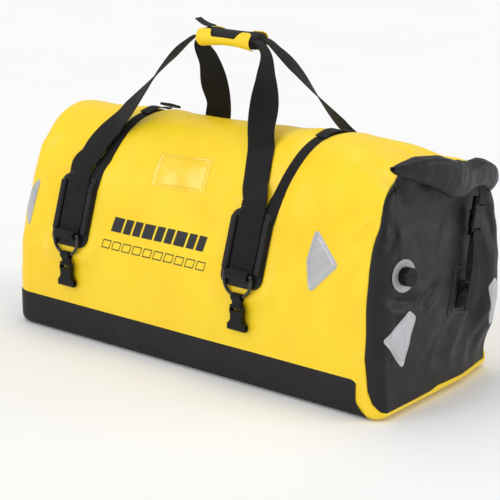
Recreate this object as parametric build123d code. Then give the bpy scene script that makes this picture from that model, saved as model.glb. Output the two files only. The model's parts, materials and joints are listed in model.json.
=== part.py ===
from build123d import *
import math
import os

os.makedirs("parts", exist_ok=True)

# Roll-top waterproof duffel bag. Millimetres, +Z up. Origin: centre of the base, on the floor.
# +X runs along the bag towards the roll-down mouth, the front faces -Y.

# ---- driving dimensions -------------------------------------------------------------------
length = 820.0             # closed end to the rim of the roll end
half_width = 166.5         # half of the width over the side walls
height = 400.0             # top of the arch
spring_line = 50.0         # height where the side walls start to curve inwards
wall = 2.5                 # tarpaulin wall with its lining
base_gap = 1.7             # the tube stands this far up, on the wear panel
corner_radius = 12.0       # lower long edges of the tube
gap = 0.2                  # between welded layers

closed_x = -length / 2
arch_end_x = 310.0         # the section is a plain arch up to here
seam_x = 385.0             # seam between the tube and the roll end
seam_power = 2.8           # squarer section at the seam
closed_round = 44.0        # rounding of the closed end

dome_radius = 800.0        # bulge of the roll end wall
dome_top_x = 428.0         # furthest point of that bulge
dome_z = 180.0             # and its height

cover_height = 61.0
cover_thickness = 1.5
cover_end_x = 362.0
foot_band_height = 15.0

mouth_half_width = 88.0
mouth_low = 330.0
mouth_high = 366.0

pad_lean = 18.0            # degrees that the anchor pads lean back
pad_mid_z = 228.0
pad_plane_y = 145.0
pad_width = 86.0
pad_length = 128.0
pad_base = 4.0
ridge_offset = 34.0
ridge_width = 13.0
ridge_height = 5.5
front_pad_x = (-262.0, 131.0)
rear_pad_x = (-131.0, 262.0)

webbing_width = 50.0
webbing_thickness = 2.2
narrow_width = 25.0
narrow_thickness = 1.6
handle_lift = 4.6          # mid-plane of a handle above the tube where it lies on it
strap_lift = 1.8           # mid-plane of a compression strap above the tube
handle_hinge_v = 67.0      # up the pad, from its middle

ring_wire = 3.0            # radius of the D-ring wire
ring_fit = 0.06            # running clearance of the bar in its webbing loop
ring_half = 28.0           # half width between wire centres
ring_drop = 38.0           # bar to the bottom of the bow
ring_bar_v = -44.0
loop_radius = 9.0
socket_width = 38.0
socket_thickness = 10.0
socket_length = 40.0

grip_x = -20.0
grip_z = 541.0
grip_length = 128.0
grip_depth = 27.0
grip_half_height = 17.0

closure_origin = (435.0, 42.0, 180.0)
closure_lean = 12.0        # degrees that the closing strap leans to the rear
valve_y = -117.0
valve_z = 231.0

shapes = {}


# ---- helpers ------------------------------------------------------------------------------
def section(x, inset, side_inset=0.0, power=2.0):
    """Cross-section of the bag at x as a face. inset is off every wall, side_inset off sides and top."""
    a = half_width - inset - side_inset
    bottom = base_gap + inset
    rise = height - inset - side_inset - spring_line
    r = corner_radius
    steps = 16
    points = []
    for k in range(steps + 1):
        t = math.pi * k / steps
        c = math.cos(t)
        y = math.copysign(a * abs(c) ** (2 / power), c)
        points.append((y, spring_line + rise * abs(math.sin(t)) ** (2 / power)))
    points[0] = (a, spring_line)
    points[-1] = (-a, spring_line)
    crown = Edge.make_spline([Vector(*p) for p in points], tangents=[Vector(0, 1), Vector(0, -1)])
    s = r * (1 - math.sqrt(0.5))
    right = Edge.make_three_point_arc(
        Vector(a - r, bottom), Vector(a - s, bottom + s), Vector(a, bottom + r))
    left = Edge.make_three_point_arc(
        Vector(-a, bottom + r), Vector(-a + s, bottom + s), Vector(-a + r, bottom))
    edges = [
        Edge.make_line(Vector(-a + r, bottom), Vector(a - r, bottom)),
        right,
        Edge.make_line(Vector(a, bottom + r), Vector(a, spring_line)),
        crown,
        Edge.make_line(Vector(-a, spring_line), Vector(-a, bottom + r)),
        left,
    ]
    face = Face(Wire(edges))
    plane = Plane(origin=(x, 0, 0), x_dir=(0, 1, 0), z_dir=(1, 0, 0))
    return plane.location * face


def tube(inset, end_x=seam_x):
    """The solid inside the tube's surface, moved in by inset, with its rounded closed end."""
    stations = []
    for k in range(5):
        turn = math.radians(90 * k / 4)
        x = closed_x + inset + closed_round * (1 - math.cos(turn))
        stations.append(section(x, inset, closed_round * (1 - math.sin(turn))))
    solid = loft(stations, ruled=True)
    start = closed_x + inset + closed_round
    solid += extrude(section(start, inset), arch_end_x - start, dir=(1, 0, 0))
    solid += loft([section(arch_end_x, inset), section(end_x, inset, 0, seam_power)], ruled=True)
    return solid


def dome(inset):
    """Ball whose surface is the bulged roll end wall, moved in by inset."""
    return Pos(dome_top_x - dome_radius, 0, dome_z) * Sphere(dome_radius - inset)


def end_block(inset, start_x):
    """The solid inside the roll end's surface."""
    block = extrude(section(start_x, inset, 0, seam_power), dome_top_x + 10 - start_x, dir=(1, 0, 0))
    return block & dome(inset)


def dome_x(y, z):
    return dome_top_x - dome_radius + math.sqrt(dome_radius ** 2 - y ** 2 - (z - dome_z) ** 2)


def span(x0, x1, y0, y1, z0, z1):
    """Box from its limits."""
    return Pos((x0 + x1) / 2, (y0 + y1) / 2, (z0 + z1) / 2) * Box(x1 - x0, y1 - y0, z1 - z0)


def arch_point(x, z, lift, side):
    """Point at height z above the arch, lifted off it, with its outward normal. side -1 is the front."""
    s = (z - spring_line) / (height - spring_line)
    y = half_width * math.sqrt(max(0.0, 1 - s * s))
    n = Vector(0, y / half_width ** 2, (z - spring_line) / (height - spring_line) ** 2).normalized()
    return Vector(x, side * (y + n.Y * lift), z + n.Z * lift), Vector(0, side * n.Y, n.Z)


def ribbon(stations, thickness):
    """Flat webbing through stations of (point, normal, half width)."""
    points = [s[0] for s in stations]
    faces = []
    for i, (point, normal, half) in enumerate(stations):
        ahead = points[min(i + 1, len(points) - 1)]
        behind = points[max(i - 1, 0)]
        tangent = (ahead - behind).normalized()
        across = tangent.cross(normal).normalized()
        plane = Plane(origin=point, x_dir=across, z_dir=tangent)
        faces.append(plane.location * Rectangle(2 * half, thickness).face())
    return loft(faces, ruled=True)


lean = math.radians(pad_lean)
pad_plane = Plane(origin=(0, -pad_plane_y, pad_mid_z), x_dir=(1, 0, 0),
                  z_dir=(0, -math.cos(lean), math.sin(lean)))


def to_side(shape, x, side):
    """Move a shape made at the front at x = 0; the rear ones are turned half round."""
    if side > 0:
        shape = Rot(0, 0, 180) * shape
    return Pos(x, 0, 0) * shape


def pad_point(v, w):
    """Point v up the pad and w out from its back, at the front at x = 0."""
    y = -pad_plane_y + v * math.sin(lean) - w * math.cos(lean)
    z = pad_mid_z + v * math.cos(lean) + w * math.sin(lean)
    return Vector(0, y, z)


# ---- soft body ------------------------------------------------------------------------------
outer = tube(0)
shell = outer - tube(wall, seam_x + 1)
window = extrude(section(closed_x - 2, 0, closed_round + 8), 8, dir=(1, 0, 0)) - span(-500, 0, -200, 200, -5, 14)
shapes["main_shell"] = shell - window
panel = extrude(section(closed_x, 0, closed_round + 8.3), wall, dir=(1, 0, 0))
shapes["closed_end_panel"] = panel - span(-500, 0, -200, 200, -5, 14.3)

skin = -gap - cover_thickness
cover = tube(skin)
cover_limit = Rectangle(cover_end_x + 430, 2 * cover_height).face()
cover_limit = fillet(cover_limit.vertices(), 22)
limit_plane = Plane(origin=((cover_end_x - 430) / 2, 300, 0), x_dir=(1, 0, 0), z_dir=(0, -1, 0))
cover_block = extrude(limit_plane.location * cover_limit, 600, dir=(0, -1, 0)) & span(-430, 400, -300, 300, 0, 100)
shapes["base_cover"] = (cover & cover_block) - tube(-gap, seam_x + 1)

cap = end_block(0, seam_x + gap) - end_block(wall, seam_x)
cap -= span(395, 440, -mouth_half_width, mouth_half_width, mouth_low, mouth_high)
band = end_block(-gap - 1.2, seam_x + 1) & span(seam_x, 440, -200, 200, 0, foot_band_height)
shapes["end_foot_band"] = band - end_block(-gap, seam_x)

# ---- reflective patches and the card window --------------------------------------------------
layer = tube(-gap - 1.0, seam_x) - tube(-gap, seam_x + 1)


def patch(corners, axis, radius):
    """Prism through the walls with rounded corners; corners are (along, up)."""
    flat = fillet(Face(Wire.make_polygon([Vector(*c) for c in corners])).vertices(), radius)
    if axis == "Y":
        plane = Plane(origin=(0, 0, 0), x_dir=(1, 0, 0), z_dir=(0, -1, 0))
        return extrude(plane.location * flat, 300, dir=(0, -1, 0))
    plane = Plane(origin=(0, 0, 0), x_dir=(0, 1, 0), z_dir=(1, 0, 0))
    return extrude(plane.location * flat, 500, dir=(1, 0, 0))


roll_side_mark = [(261, 281), (318, 238), (270, 186)]
closed_side_mark = [(-372, 268), (-407, 222), (-376, 182)]
rear_side_mark = [(318, 281), (375, 238), (327, 186)]
closed_corner = patch(closed_side_mark, "Y", 6)
front_marks = layer & (patch(roll_side_mark, "Y", 8) + closed_corner)
rear_marks = layer & (mirror(patch(rear_side_mark, "Y", 8) + closed_corner, Plane.XZ))
shapes["side_reflectors_front"] = front_marks
shapes["side_reflectors_rear"] = rear_marks
end_layer = dome(-gap - 1.0) - dome(-gap)
end_mark = patch([(-90, 168), (-154, 134), (-116, 80), (-78, 150)], "X", 7)
end_marks = end_layer & (end_mark + mirror(end_mark, Plane.XZ))
shapes["roll_end_reflectors"] = end_marks
closed_mark = extrude(Plane(origin=(closed_x - 1.2, 0, 0), x_dir=(0, 1, 0), z_dir=(1, 0, 0)).location
                      * fillet(Face(Wire.make_polygon([Vector(-50, 168), Vector(-96, 134), Vector(-72, 84),
                                                       Vector(-40, 150)])).vertices(), 7), 1.0, dir=(1, 0, 0))
shapes["closed_end_reflectors"] = closed_mark + mirror(closed_mark, Plane.XZ)
shapes["card_window"] = layer & patch([(-106, 346), (-8, 346), (-8, 297), (-106, 297)], "Y", 5)

# ---- valve on the roll end -------------------------------------------------------------------
valve_point = Vector(dome_x(valve_y, valve_z), valve_y, valve_z)
valve_normal = (valve_point - Vector(dome_top_x - dome_radius, 0, dome_z)).normalized()
valve_plane = Plane(origin=valve_point, x_dir=(0, 1, 0), z_dir=valve_normal)


def disc(radius, low, high):
    return Pos(0, 0, low) * Cylinder(radius, high - low, align=(Align.CENTER, Align.CENTER, Align.MIN))


neck = 11.0
valve_flange = disc(26, 0.6, 2.1) - disc(10.3, 0, 3)
valve_flange = chamfer(valve_flange.edges().filter_by(GeomType.CIRCLE).sort_by(Axis.Z)[-1:], 0.5)
valve_body = disc(14, 2.3, 3.4) + disc(neck, 3.4, 10) + disc(10, -12, 2.4)
for ring_z in (5.0, 6.6, 8.2):
    valve_body -= Pos(0, 0, ring_z) * Torus(neck, 0.3)
valve_body -= disc(7.2, -13, 11)
bridge = Pos(0, 0, -9) * Box(15, 3, 2.4) + Pos(0, 0, -9) * Box(3, 15, 2.4)
valve_body += (bridge & disc(7.4, -11, -6)) - disc(2.1, -12, 0)
valve_nut = disc(16, -8.5, -3.2) - disc(10.3, -9, 0)
for k in range(8):
    valve_nut -= Rot(0, 0, 45 * k) * (Pos(16, 0, -6) * Box(3, 4, 8))
stem = disc(6.6, 5.2, 7.4) + disc(2.0, -12, 6) + disc(2.0, 7, 12.8)
stem -= Pos(0, 0, 6.3) * Torus(6.6, 0.7)
valve_seal = Pos(0, 0, 6.3) * Torus(6.55, 0.6)
cap_solid = disc(15, 3.8, 18)
cap_solid = fillet(cap_solid.edges().filter_by(GeomType.CIRCLE).sort_by(Axis.Z)[-1:], 1.6)
for k in range(24):
    cap_solid -= Rot(0, 0, 15 * k) * (Pos(15.2, 0, 10) * Cylinder(0.9, 10.5))
cap_solid -= disc(neck + 0.3, 3, 13.2)
boss = disc(4.2, 8.6, 14) - disc(2.05, 8, 13.2)
cap_solid += boss
thumb = Pos(0, 0, 18) * Box(20, 2.6, 1.6)
cap_solid += thumb
cap -= valve_plane.location * disc(10.4, -8, 4)
shapes["roll_end_panel"] = cap
shapes["valve_flange"] = valve_plane.location * valve_flange
shapes["valve_body"] = valve_plane.location * valve_body
shapes["valve_back_nut"] = valve_plane.location * valve_nut
shapes["valve_stem"] = valve_plane.location * stem
shapes["valve_seal"] = valve_plane.location * valve_seal
shapes["valve_cap"] = valve_plane.location * cap_solid

# ---- rolled mouth with its stiffener ---------------------------------------------------------
# each station: centre x, y, z, half depth, half height
roll_stations = [
    (416, -160, 398, 5, 8), (424, -125, 396, 15, 19), (428, -85, 388, 19, 22), (436, -20, 366, 18, 21),
    (440, 45, 350, 17, 19), (436, 90, 358, 17, 20), (426, 132, 370, 14, 18), (416, 162, 372, 5, 8),
]
roll_faces = []
core_faces = []
slot_faces = []
for x, y, z, half_x, half_z in roll_stations:
    plane = Plane(origin=(x, y, z), x_dir=(1, 0, 0), z_dir=(0, 1, 0))
    roll_faces.append(plane.location * Ellipse(half_x, half_z).face())
    core_faces.append(plane.location * Rectangle(1.6, 20).face())
    slot_faces.append(plane.location * Rectangle(2.2, 20.8).face())
roll = loft(roll_faces, ruled=True)
shapes["mouth_stiffener"] = loft(core_faces[1:-1], ruled=True)
shapes["rolled_mouth"] = roll - loft(slot_faces[1:-1], ruled=True)

# ---- closure: tab, plug, socket, strap, ring, anchor -----------------------------------------
tilt = math.radians(closure_lean)
closure_plane = Plane(origin=closure_origin, x_dir=(0, math.cos(tilt), -math.sin(tilt)), z_dir=(1, 0, 0))


def block(width, low, high, back, front):
    """Box centred across the strap, in closure coordinates."""
    return span(-width / 2, width / 2, low, high, back, front)


plug = fillet(block(30, 124.4, 146, -4.5, 4.5).edges().filter_by(Axis.Y), 3)
plug -= block(23, 131, 135.5, -6, 6)
plug -= block(23, 138.5, 143, -6, 6)
for side in (-1, 1):
    plug += span(side * 9.6 - 2.4, side * 9.6 + 2.4, 104, 125, -2.8, 2.8)
plug += block(4.5, 108, 125, -2.8, 2.8)
socket = fillet(block(34, 96, 124, -5.5, 5.5).edges().filter_by(Axis.Y), 4)
socket += fillet(block(30, 82, 97, -3.6, 3.6).edges().filter_by(Axis.Z), 3)
socket -= block(25, 102, 126, -3.2, 3.2)
socket -= block(24.5, 84.5, 88.2, -6, 6)
socket -= block(24.5, 91.0, 94.8, -6, 6)
for side in (-1, 1):
    socket -= span(side * 17 - 4, side * 17 + 4, 107, 117, -2.9, 2.9)
ring_frame = fillet(block(33, -7, 9, -1.7, 1.7).edges().filter_by(Axis.Z), 3)
ring_frame -= fillet(block(26.4, -3.6, 5.6, -3, 3).edges().filter_by(Axis.Z), 1.2)
ring_loop = block(25, -34, -9.2, -6.0, -4.2)
ring_loop += block(25, -9.4, -2.0, -6.0, -4.2)
ring_loop += block(25, -2.4, -0.6, -6.0, 4.0)
ring_loop += block(25, -11.4, -2.0, 2.2, 4.0)
ring_loop += block(25, -11.4, -9.6, -6.0, 4.0)
anchor_patch = closure_plane.location * block(66, -52, 34, -30, 20)
anchor_patch = (dome(-gap - 1.0) - dome(-gap)) & anchor_patch


def closure_ribbon(path, width):
    """Narrow webbing through (t, w, normal t, normal w) in the plane of the strap."""
    stations = []
    for t, w, nt, nw in path:
        point = closure_plane.from_local_coords(Vector(0, t, w))
        tip = closure_plane.from_local_coords(Vector(0, t + nt, w + nw))
        stations.append((point, (tip - point).normalized(), width / 2))
    return ribbon(stations, narrow_thickness)


strap = closure_ribbon([(7.2, 3.2, 0, 1), (12, 2.8, 0, 1), (30, 1.6, 0, 1), (80.5, 0.0, 0, 1), (82, 0, 0, 1)], 24)
tail = closure_ribbon([(81, 5.2, 0, 1), (60, 7.6, 0, 1), (30, 10, 0, 1), (0, 11, 0, 1), (-38, 8.5, 0, 1)], 24)
tab = closure_ribbon([(136.5, 5.6, 0, 1), (146, 6.0, 0, 1), (154, 4.8, 0, 1)], 22)
shapes["closure_plug"] = closure_plane.location * plug
shapes["closure_socket"] = closure_plane.location * socket
shapes["closure_ring"] = closure_plane.location * ring_frame
shapes["closure_ring_loop"] = closure_plane.location * ring_loop
shapes["closure_anchor_patch"] = anchor_patch
shapes["closure_strap"] = strap
shapes["closure_tail"] = tail
shapes["closure_tab"] = tab


# ---- anchor pads, their webbing, D-rings and hanging sockets ----------------------------------
def anchor_pad():
    """Moulded pad with two ridges that guide the webbing."""
    base = extrude(RectangleRounded(pad_width, pad_length, 19), pad_base)
    base = chamfer(base.faces().sort_by(Axis.Z)[-1].edges(), 1.5)
    for s in (-1, 1):
        ridge = Pos(s * ridge_offset, 6, pad_base - 0.5) * extrude(
            SlotOverall(pad_length - 34, ridge_width, rotation=90), ridge_height + 0.5)
        base += chamfer(ridge.faces().sort_by(Axis.Z)[-1].edges(), 2.2)
    return pad_plane.location * base


def anchor_webbing():
    """Webbing stitched to the pad, rolled into a loop round the D-ring bar."""
    low = pad_base + 0.3
    centre = low + loop_radius
    strip = span(-webbing_width / 2, webbing_width / 2, ring_bar_v + 1, handle_hinge_v - 3,
                 low, low + webbing_thickness)
    tube_solid = Pos(0, ring_bar_v, centre) * Rot(0, 90, 0) * Cylinder(loop_radius, 46)
    bore = Pos(0, ring_bar_v, centre) * Rot(0, 90, 0) * Cylinder(ring_wire + ring_fit, 60)
    stitched = strip + tube_solid
    return pad_plane.location * (stitched - bore)


bar_point = pad_point(ring_bar_v, pad_base + 0.3 + loop_radius)
bow_z = bar_point.Z - ring_drop


def d_ring():
    """Bar through the webbing loop and a bow below it, hanging straight down."""
    side_drop = ring_drop - ring_half
    wire = Wire([
        Edge.make_line(Vector(-ring_half, 0, 0), Vector(ring_half, 0, 0)),
        Edge.make_line(Vector(ring_half, 0, 0), Vector(ring_half, 0, -side_drop)),
        Edge.make_three_point_arc(Vector(ring_half, 0, -side_drop), Vector(0, 0, -ring_drop),
                                  Vector(-ring_half, 0, -side_drop)),
        Edge.make_line(Vector(-ring_half, 0, -side_drop), Vector(-ring_half, 0, 0)),
    ])
    bar = Rot(0, 90, 0) * Cylinder(ring_wire, 2 * ring_half)
    solid = bar
    for s in (-1, 1):
        solid += Pos(s * ring_half, 0, 0) * Sphere(ring_wire)
        solid += Pos(s * ring_half, 0, -side_drop / 2) * Cylinder(ring_wire, side_drop)
    bow = Rot(90, 0, 0) * Torus(ring_half, ring_wire)
    solid += Pos(0, 0, -side_drop) * (bow & span(-60, 60, -10, 10, -60, 0))
    return Pos(bar_point) * solid


hang_hole = 5.2
hang_outer = 7.0
hang_length = 17.0         # bow to the bar of the socket
bar_radius = 2.0


def hang_loop():
    """Short webbing loop from the D-ring bow to the bar of the socket."""
    top = Rot(0, 90, 0) * Cylinder(hang_outer, 20)
    low = Pos(0, 0, -hang_length) * Rot(0, 90, 0) * Cylinder(bar_radius + 2.0, 20)
    neck_strip = span(-10, 10, -1.9, 1.9, -hang_length, 0)
    solid = top + low + neck_strip
    solid -= Rot(0, 90, 0) * Cylinder(hang_hole, 30)
    solid -= Pos(0, 0, -hang_length) * Rot(0, 90, 0) * Cylinder(bar_radius + 0.05, 30)
    return Pos(0, bar_point.Y, bow_z) * solid


def hanging_socket():
    """Female half of a side-release buckle, mouth down, with a waist and side windows."""
    half = socket_width / 2
    t = socket_thickness / 2
    outline = [(-14, -3), (14, -3), (14, -8), (12.5, -14), (12.5, -22), (15, -26), (half, -30),
               (half, -socket_length), (-half, -socket_length), (-half, -30), (-15, -26), (-12.5, -22),
               (-12.5, -14), (-14, -8)]
    plane = Plane(origin=(0, t, 0), x_dir=(1, 0, 0), z_dir=(0, -1, 0))
    body = extrude(plane.location * Face(Wire.make_polygon([Vector(*p) for p in outline])), 2 * t, dir=(0, -1, 0))
    body = chamfer(body.faces().filter_by(Axis.Y).edges(), 1.0)
    body -= span(-10.6, 10.6, -10, 10, -7.2, 5)
    body += Rot(0, 90, 0) * Cylinder(bar_radius, 24) & span(-12.5, 12.5, -9, 9, -9, 9)
    for s in (-1, 1):
        body += span(s * 12.3 - 1.7, s * 12.3 + 1.7, -2.8, 2.8, -8, 2.6)
    body -= span(-14.5, 14.5, -3.1, 3.1, -socket_length - 1, -27)
    body -= span(-9.5, 9.5, -3.1, 3.1, -28, -13)
    for s in (-1, 1):
        body -= span(s * half - 5, s * half + 5, -2.6, 2.6, -36.5, -30.5)
    return Pos(0, bar_point.Y, bow_z - hang_length) * body


corners = (("front_left", front_pad_x[0], -1), ("front_right", front_pad_x[1], -1),
           ("rear_left", rear_pad_x[0], 1), ("rear_right", rear_pad_x[1], 1))
for name, x, side in corners:
    shapes["anchor_pad_" + name] = to_side(anchor_pad(), x, side)
    shapes["anchor_webbing_" + name] = to_side(anchor_webbing(), x, side)
    shapes["d_ring_" + name] = to_side(d_ring(), x, side)
    shapes["hang_loop_" + name] = to_side(hang_loop(), x, side)
    shapes["hanging_socket_" + name] = to_side(hanging_socket(), x, side)

# ---- compression straps over the top ----------------------------------------------------------
strap_ends = ((front_pad_x[0] + 35, rear_pad_x[0] - 35), (front_pad_x[1] + 35, rear_pad_x[1] - 35))
for name, (x_front, x_rear) in zip(("left", "right"), strap_ends):
    stations = []
    steps = 18
    first = math.asin((296 - spring_line) / (height - spring_line))
    for k in range(steps + 1):
        turn = first + (math.pi - 2 * first) * k / steps
        z = spring_line + (height - spring_line) * math.sin(turn)
        side = -1 if turn < math.pi / 2 else 1
        along = k / steps
        x = x_front + (x_rear - x_front) * along
        point, normal = arch_point(x, z, strap_lift, side)
        stations.append((point, normal, narrow_width / 2))
    shapes["compression_strap_" + name] = ribbon(stations, narrow_thickness)
    adjuster_turn = 0.62
    index = round(adjuster_turn * steps)
    point, normal, _ = stations[index]
    ahead = (stations[index + 1][0] - point).normalized()
    across = ahead.cross(normal).normalized()
    seat = Plane(origin=point + normal * (narrow_thickness / 2 + 0.4), x_dir=across, z_dir=normal)
    adjuster = extrude(RectangleRounded(33, 25, 3), 4.5)
    adjuster = chamfer(adjuster.faces().sort_by(Axis.Z)[-1].edges(), 0.8)
    for offset in (-6.2, 6.2):
        adjuster -= Pos(0, offset, 2) * Box(26, 4.2, 10)
    shapes["strap_adjuster_" + name] = seat.location * adjuster

# ---- carry handles and the grip ---------------------------------------------------------------
webbing_w = pad_base + 0.3 + webbing_thickness / 2
hinge_point = pad_point(handle_hinge_v, webbing_w)
pad_normal = Vector(0, -math.cos(lean), math.sin(lean))
half_web = webbing_width / 2
grip_left = grip_x - grip_length / 2
grip_right = grip_x + grip_length / 2
grip_web_y = 12.5
folded_half = 9.5


def surface_station(x, z, side):
    point, normal = arch_point(x, z, handle_lift, side)
    return point, normal, half_web


def air_station(x, y, z, nx, ny, nz, half, side):
    """Station off the tube; y and ny are outward distances, turned to the given side."""
    return Vector(x, side * y, z), Vector(nx, side * ny, nz).normalized(), half


def pad_stations(x, side):
    """Two stations where the webbing leaves a pad, square to it."""
    stations = []
    for v in (handle_hinge_v + 3, handle_hinge_v + 13):
        point = pad_point(v, webbing_w)
        stations.append((Vector(x, side * abs(point.Y), point.Z),
                         Vector(0, side * abs(pad_normal.Y), pad_normal.Z), half_web))
    return stations


def handle(side, pads, left_low, left_air, right_air, right_low):
    """Webbing from the left pad over the tube, through the grip and down to the right pad."""
    stations = pad_stations(pads[0], side)
    stations += [surface_station(x, z, side) for x, z in left_low]
    stations += [air_station(*s, side) for s in left_air]
    stations.append(air_station(grip_left - 4, grip_web_y, grip_z, -0.1, 0, 1, folded_half, side))
    stations.append(air_station(grip_right + 4, grip_web_y, grip_z, 0.1, 0, 1, folded_half, side))
    stations += [air_station(*s, side) for s in right_air]
    stations += [surface_station(x, z, side) for x, z in right_low]
    stations += reversed(pad_stations(pads[1], side))
    return ribbon(stations, webbing_thickness)


front_webbing = handle(
    -1, front_pad_x,
    [(-255, 322), (-250, 338), (-244, 351), (-238, 362), (-232, 371)],
    [(-207, 62, 404, -0.35, 0.75, 0.55, 25), (-175, 47, 446, -0.7, 0.6, 0.35, 24),
     (-140, 32, 492, -0.85, 0.3, 0.35, 19), (-108, 15, 529, -0.75, 0.05, 0.6, 11)],
    [(64, 15, 529, 0.8, 0.05, 0.6, 11), (80, 32, 490, 0.9, 0.35, 0.15, 19),
     (87, 46, 447, 0.55, 0.8, 0.15, 24), (92, 61, 405, 0.15, 0.9, 0.35, 25)],
    [(98, 373), (104, 363), (109, 352), (114, 339), (119, 323)])
rear_webbing = handle(
    1, rear_pad_x,
    [(-128, 322), (-124, 338), (-119, 351), (-114, 362), (-110, 371)],
    [(-101, 61, 405, -0.1, 0.9, 0.35, 25), (-98, 46, 447, -0.5, 0.8, 0.15, 24),
     (-99, 32, 490, -0.9, 0.35, 0.15, 19), (-104, 15, 529, -0.8, 0.05, 0.6, 11)],
    [(66, 15, 529, 0.75, 0.05, 0.6, 11), (96, 32, 494, 0.85, 0.3, 0.35, 19),
     (128, 47, 452, 0.7, 0.6, 0.35, 24), (164, 62, 410, 0.35, 0.75, 0.55, 25)],
    [(196, 373), (207, 363), (219, 352), (232, 339), (246, 323)])

grip_block = Pos(grip_x, 0, grip_z) * Rot(0, 90, 0) * extrude(Ellipse(grip_half_height, grip_depth), grip_length / 2,
                                                              both=True)
half_split = 0.9
front_half = grip_block & span(-200, 200, -100, -half_split, 400, 700)
pocket = span(-200, 200, -grip_web_y - folded_half - 0.6, -grip_web_y + folded_half + 0.6,
              grip_z - 2.6, grip_z + 2.6)
front_half -= pocket
strip = span(grip_x - 52, grip_x + 52, -0.8, -0.15, grip_z - 9, grip_z + 9)
shapes["front_handle_webbing"] = front_webbing
shapes["rear_handle_webbing"] = rear_webbing
shapes["grip_wrap_front"] = front_half
shapes["grip_wrap_rear"] = mirror(front_half, Plane.XZ)
shapes["grip_hook_strip"] = strip
shapes["grip_loop_strip"] = mirror(strip, Plane.XZ)

# ---- write --------------------------------------------------------------------------------------
for name, shape in shapes.items():
    export_step(shape, "parts/" + name + ".step")
print(len(shapes), "nodes; D-ring bar", bar_point, "bow z", bow_z, "handle hinge", hinge_point)
print("valve", valve_point, valve_normal)
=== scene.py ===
"""Roll-top duffel bag: soft goods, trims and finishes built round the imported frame.

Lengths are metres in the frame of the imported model: +X runs along the bag towards the
roll-down mouth, the front faces -Y and the base stands on z = 0.
"""
import json
import logging
import math
from dataclasses import dataclass, field
from enum import Enum
from typing import Iterable, Sequence

import bpy
import numpy as np
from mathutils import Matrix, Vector
from mathutils.bvhtree import BVHTree

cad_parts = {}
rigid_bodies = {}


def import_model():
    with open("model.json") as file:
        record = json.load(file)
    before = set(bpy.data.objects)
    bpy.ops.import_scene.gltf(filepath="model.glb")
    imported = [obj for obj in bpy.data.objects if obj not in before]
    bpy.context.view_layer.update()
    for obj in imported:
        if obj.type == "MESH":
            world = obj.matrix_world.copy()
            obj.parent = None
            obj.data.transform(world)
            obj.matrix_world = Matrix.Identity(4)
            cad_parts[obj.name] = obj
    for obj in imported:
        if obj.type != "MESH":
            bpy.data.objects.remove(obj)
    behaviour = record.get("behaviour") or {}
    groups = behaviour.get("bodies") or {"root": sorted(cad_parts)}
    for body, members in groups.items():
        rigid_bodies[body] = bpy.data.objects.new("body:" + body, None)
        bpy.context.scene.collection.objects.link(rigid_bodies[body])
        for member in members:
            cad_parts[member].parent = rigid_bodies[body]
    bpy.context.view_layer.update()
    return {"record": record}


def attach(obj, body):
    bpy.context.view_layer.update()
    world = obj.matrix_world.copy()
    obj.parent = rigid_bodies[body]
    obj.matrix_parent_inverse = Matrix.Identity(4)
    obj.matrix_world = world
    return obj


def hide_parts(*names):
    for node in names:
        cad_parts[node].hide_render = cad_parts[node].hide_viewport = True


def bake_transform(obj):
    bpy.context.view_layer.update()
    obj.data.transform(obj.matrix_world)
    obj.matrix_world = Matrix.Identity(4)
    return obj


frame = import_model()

log = logging.getLogger("duffel")
MM = 0.001


class Side(Enum):
    """The two long sides of the bag; the value is the sign of y."""

    FRONT = -1
    REAR = 1


@dataclass(frozen=True)
class Corner:
    """One anchor pad: its name in the frame, its place along the bag and its side."""

    name: str
    x: float
    side: Side


CORNERS = (
    Corner("front_left", -0.262, Side.FRONT),
    Corner("front_right", 0.131, Side.FRONT),
    Corner("rear_left", -0.131, Side.REAR),
    Corner("rear_right", 0.262, Side.REAR),
)


# Small numeric tools.
def smooth(low: float, high: float, value: np.ndarray) -> np.ndarray:
    """Rise smoothly from 0 at low to 1 at high.

    Args:
        low: Value where the rise starts.
        high: Value where it ends; may be below low for a fall.
        value: Numbers to map.

    Returns:
        The mapped numbers.
    """
    t = np.clip((np.asarray(value, float) - low) / (high - low), 0.0, 1.0)
    return t * t * (3 - 2 * t)


def bell(value: np.ndarray, centre: float, width: float) -> np.ndarray:
    """A bell curve of height 1.

    Args:
        value: Numbers to map.
        centre: Where the bell stands.
        width: Its half width.

    Returns:
        The mapped numbers.
    """
    return np.exp(-(((np.asarray(value, float) - centre) / width) ** 2))


def unit(vectors: np.ndarray) -> np.ndarray:
    """Vectors at unit length, along the last axis."""
    return vectors / np.maximum(np.linalg.norm(vectors, axis=-1, keepdims=True), 1e-12)


def tangents(points: np.ndarray, closed: bool = False) -> np.ndarray:
    """Unit directions along a line of points, or round a closed one."""
    return unit(np.roll(points, -1, axis=0) - np.roll(points, 1, axis=0) if closed
                else np.gradient(points, axis=0))


def soften(loop: np.ndarray, times: int) -> np.ndarray:
    """A closed line of points, each moved towards its neighbours a number of times."""
    for _ in range(times):
        loop = (np.roll(loop, 1, axis=0) + 2 * loop + np.roll(loop, -1, axis=0)) / 4
    return loop


def sheet_normals(table: np.ndarray) -> np.ndarray:
    """Outward normals of a table of points whose columns run round."""
    around = np.roll(table, -1, axis=1) - np.roll(table, 1, axis=1)
    return unit(np.cross(np.gradient(table, axis=0), around))


def resample(points: np.ndarray, count: int, closed: bool = False) -> np.ndarray:
    """Points at equal distances along a polyline.

    Args:
        points: The polyline, one row a point.
        count: How many points come back.
        closed: True for a loop, whose first point isn't repeated at the end.

    Returns:
        The new points.
    """
    line = np.vstack([points, points[:1]]) if closed else points
    steps = np.linalg.norm(np.diff(line, axis=0), axis=1)
    along = np.concatenate([[0.0], np.cumsum(steps)])
    wanted = np.linspace(0.0, along[-1], count, endpoint=not closed)
    return np.stack([np.interp(wanted, along, line[:, k]) for k in range(line.shape[1])], axis=1)


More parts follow.
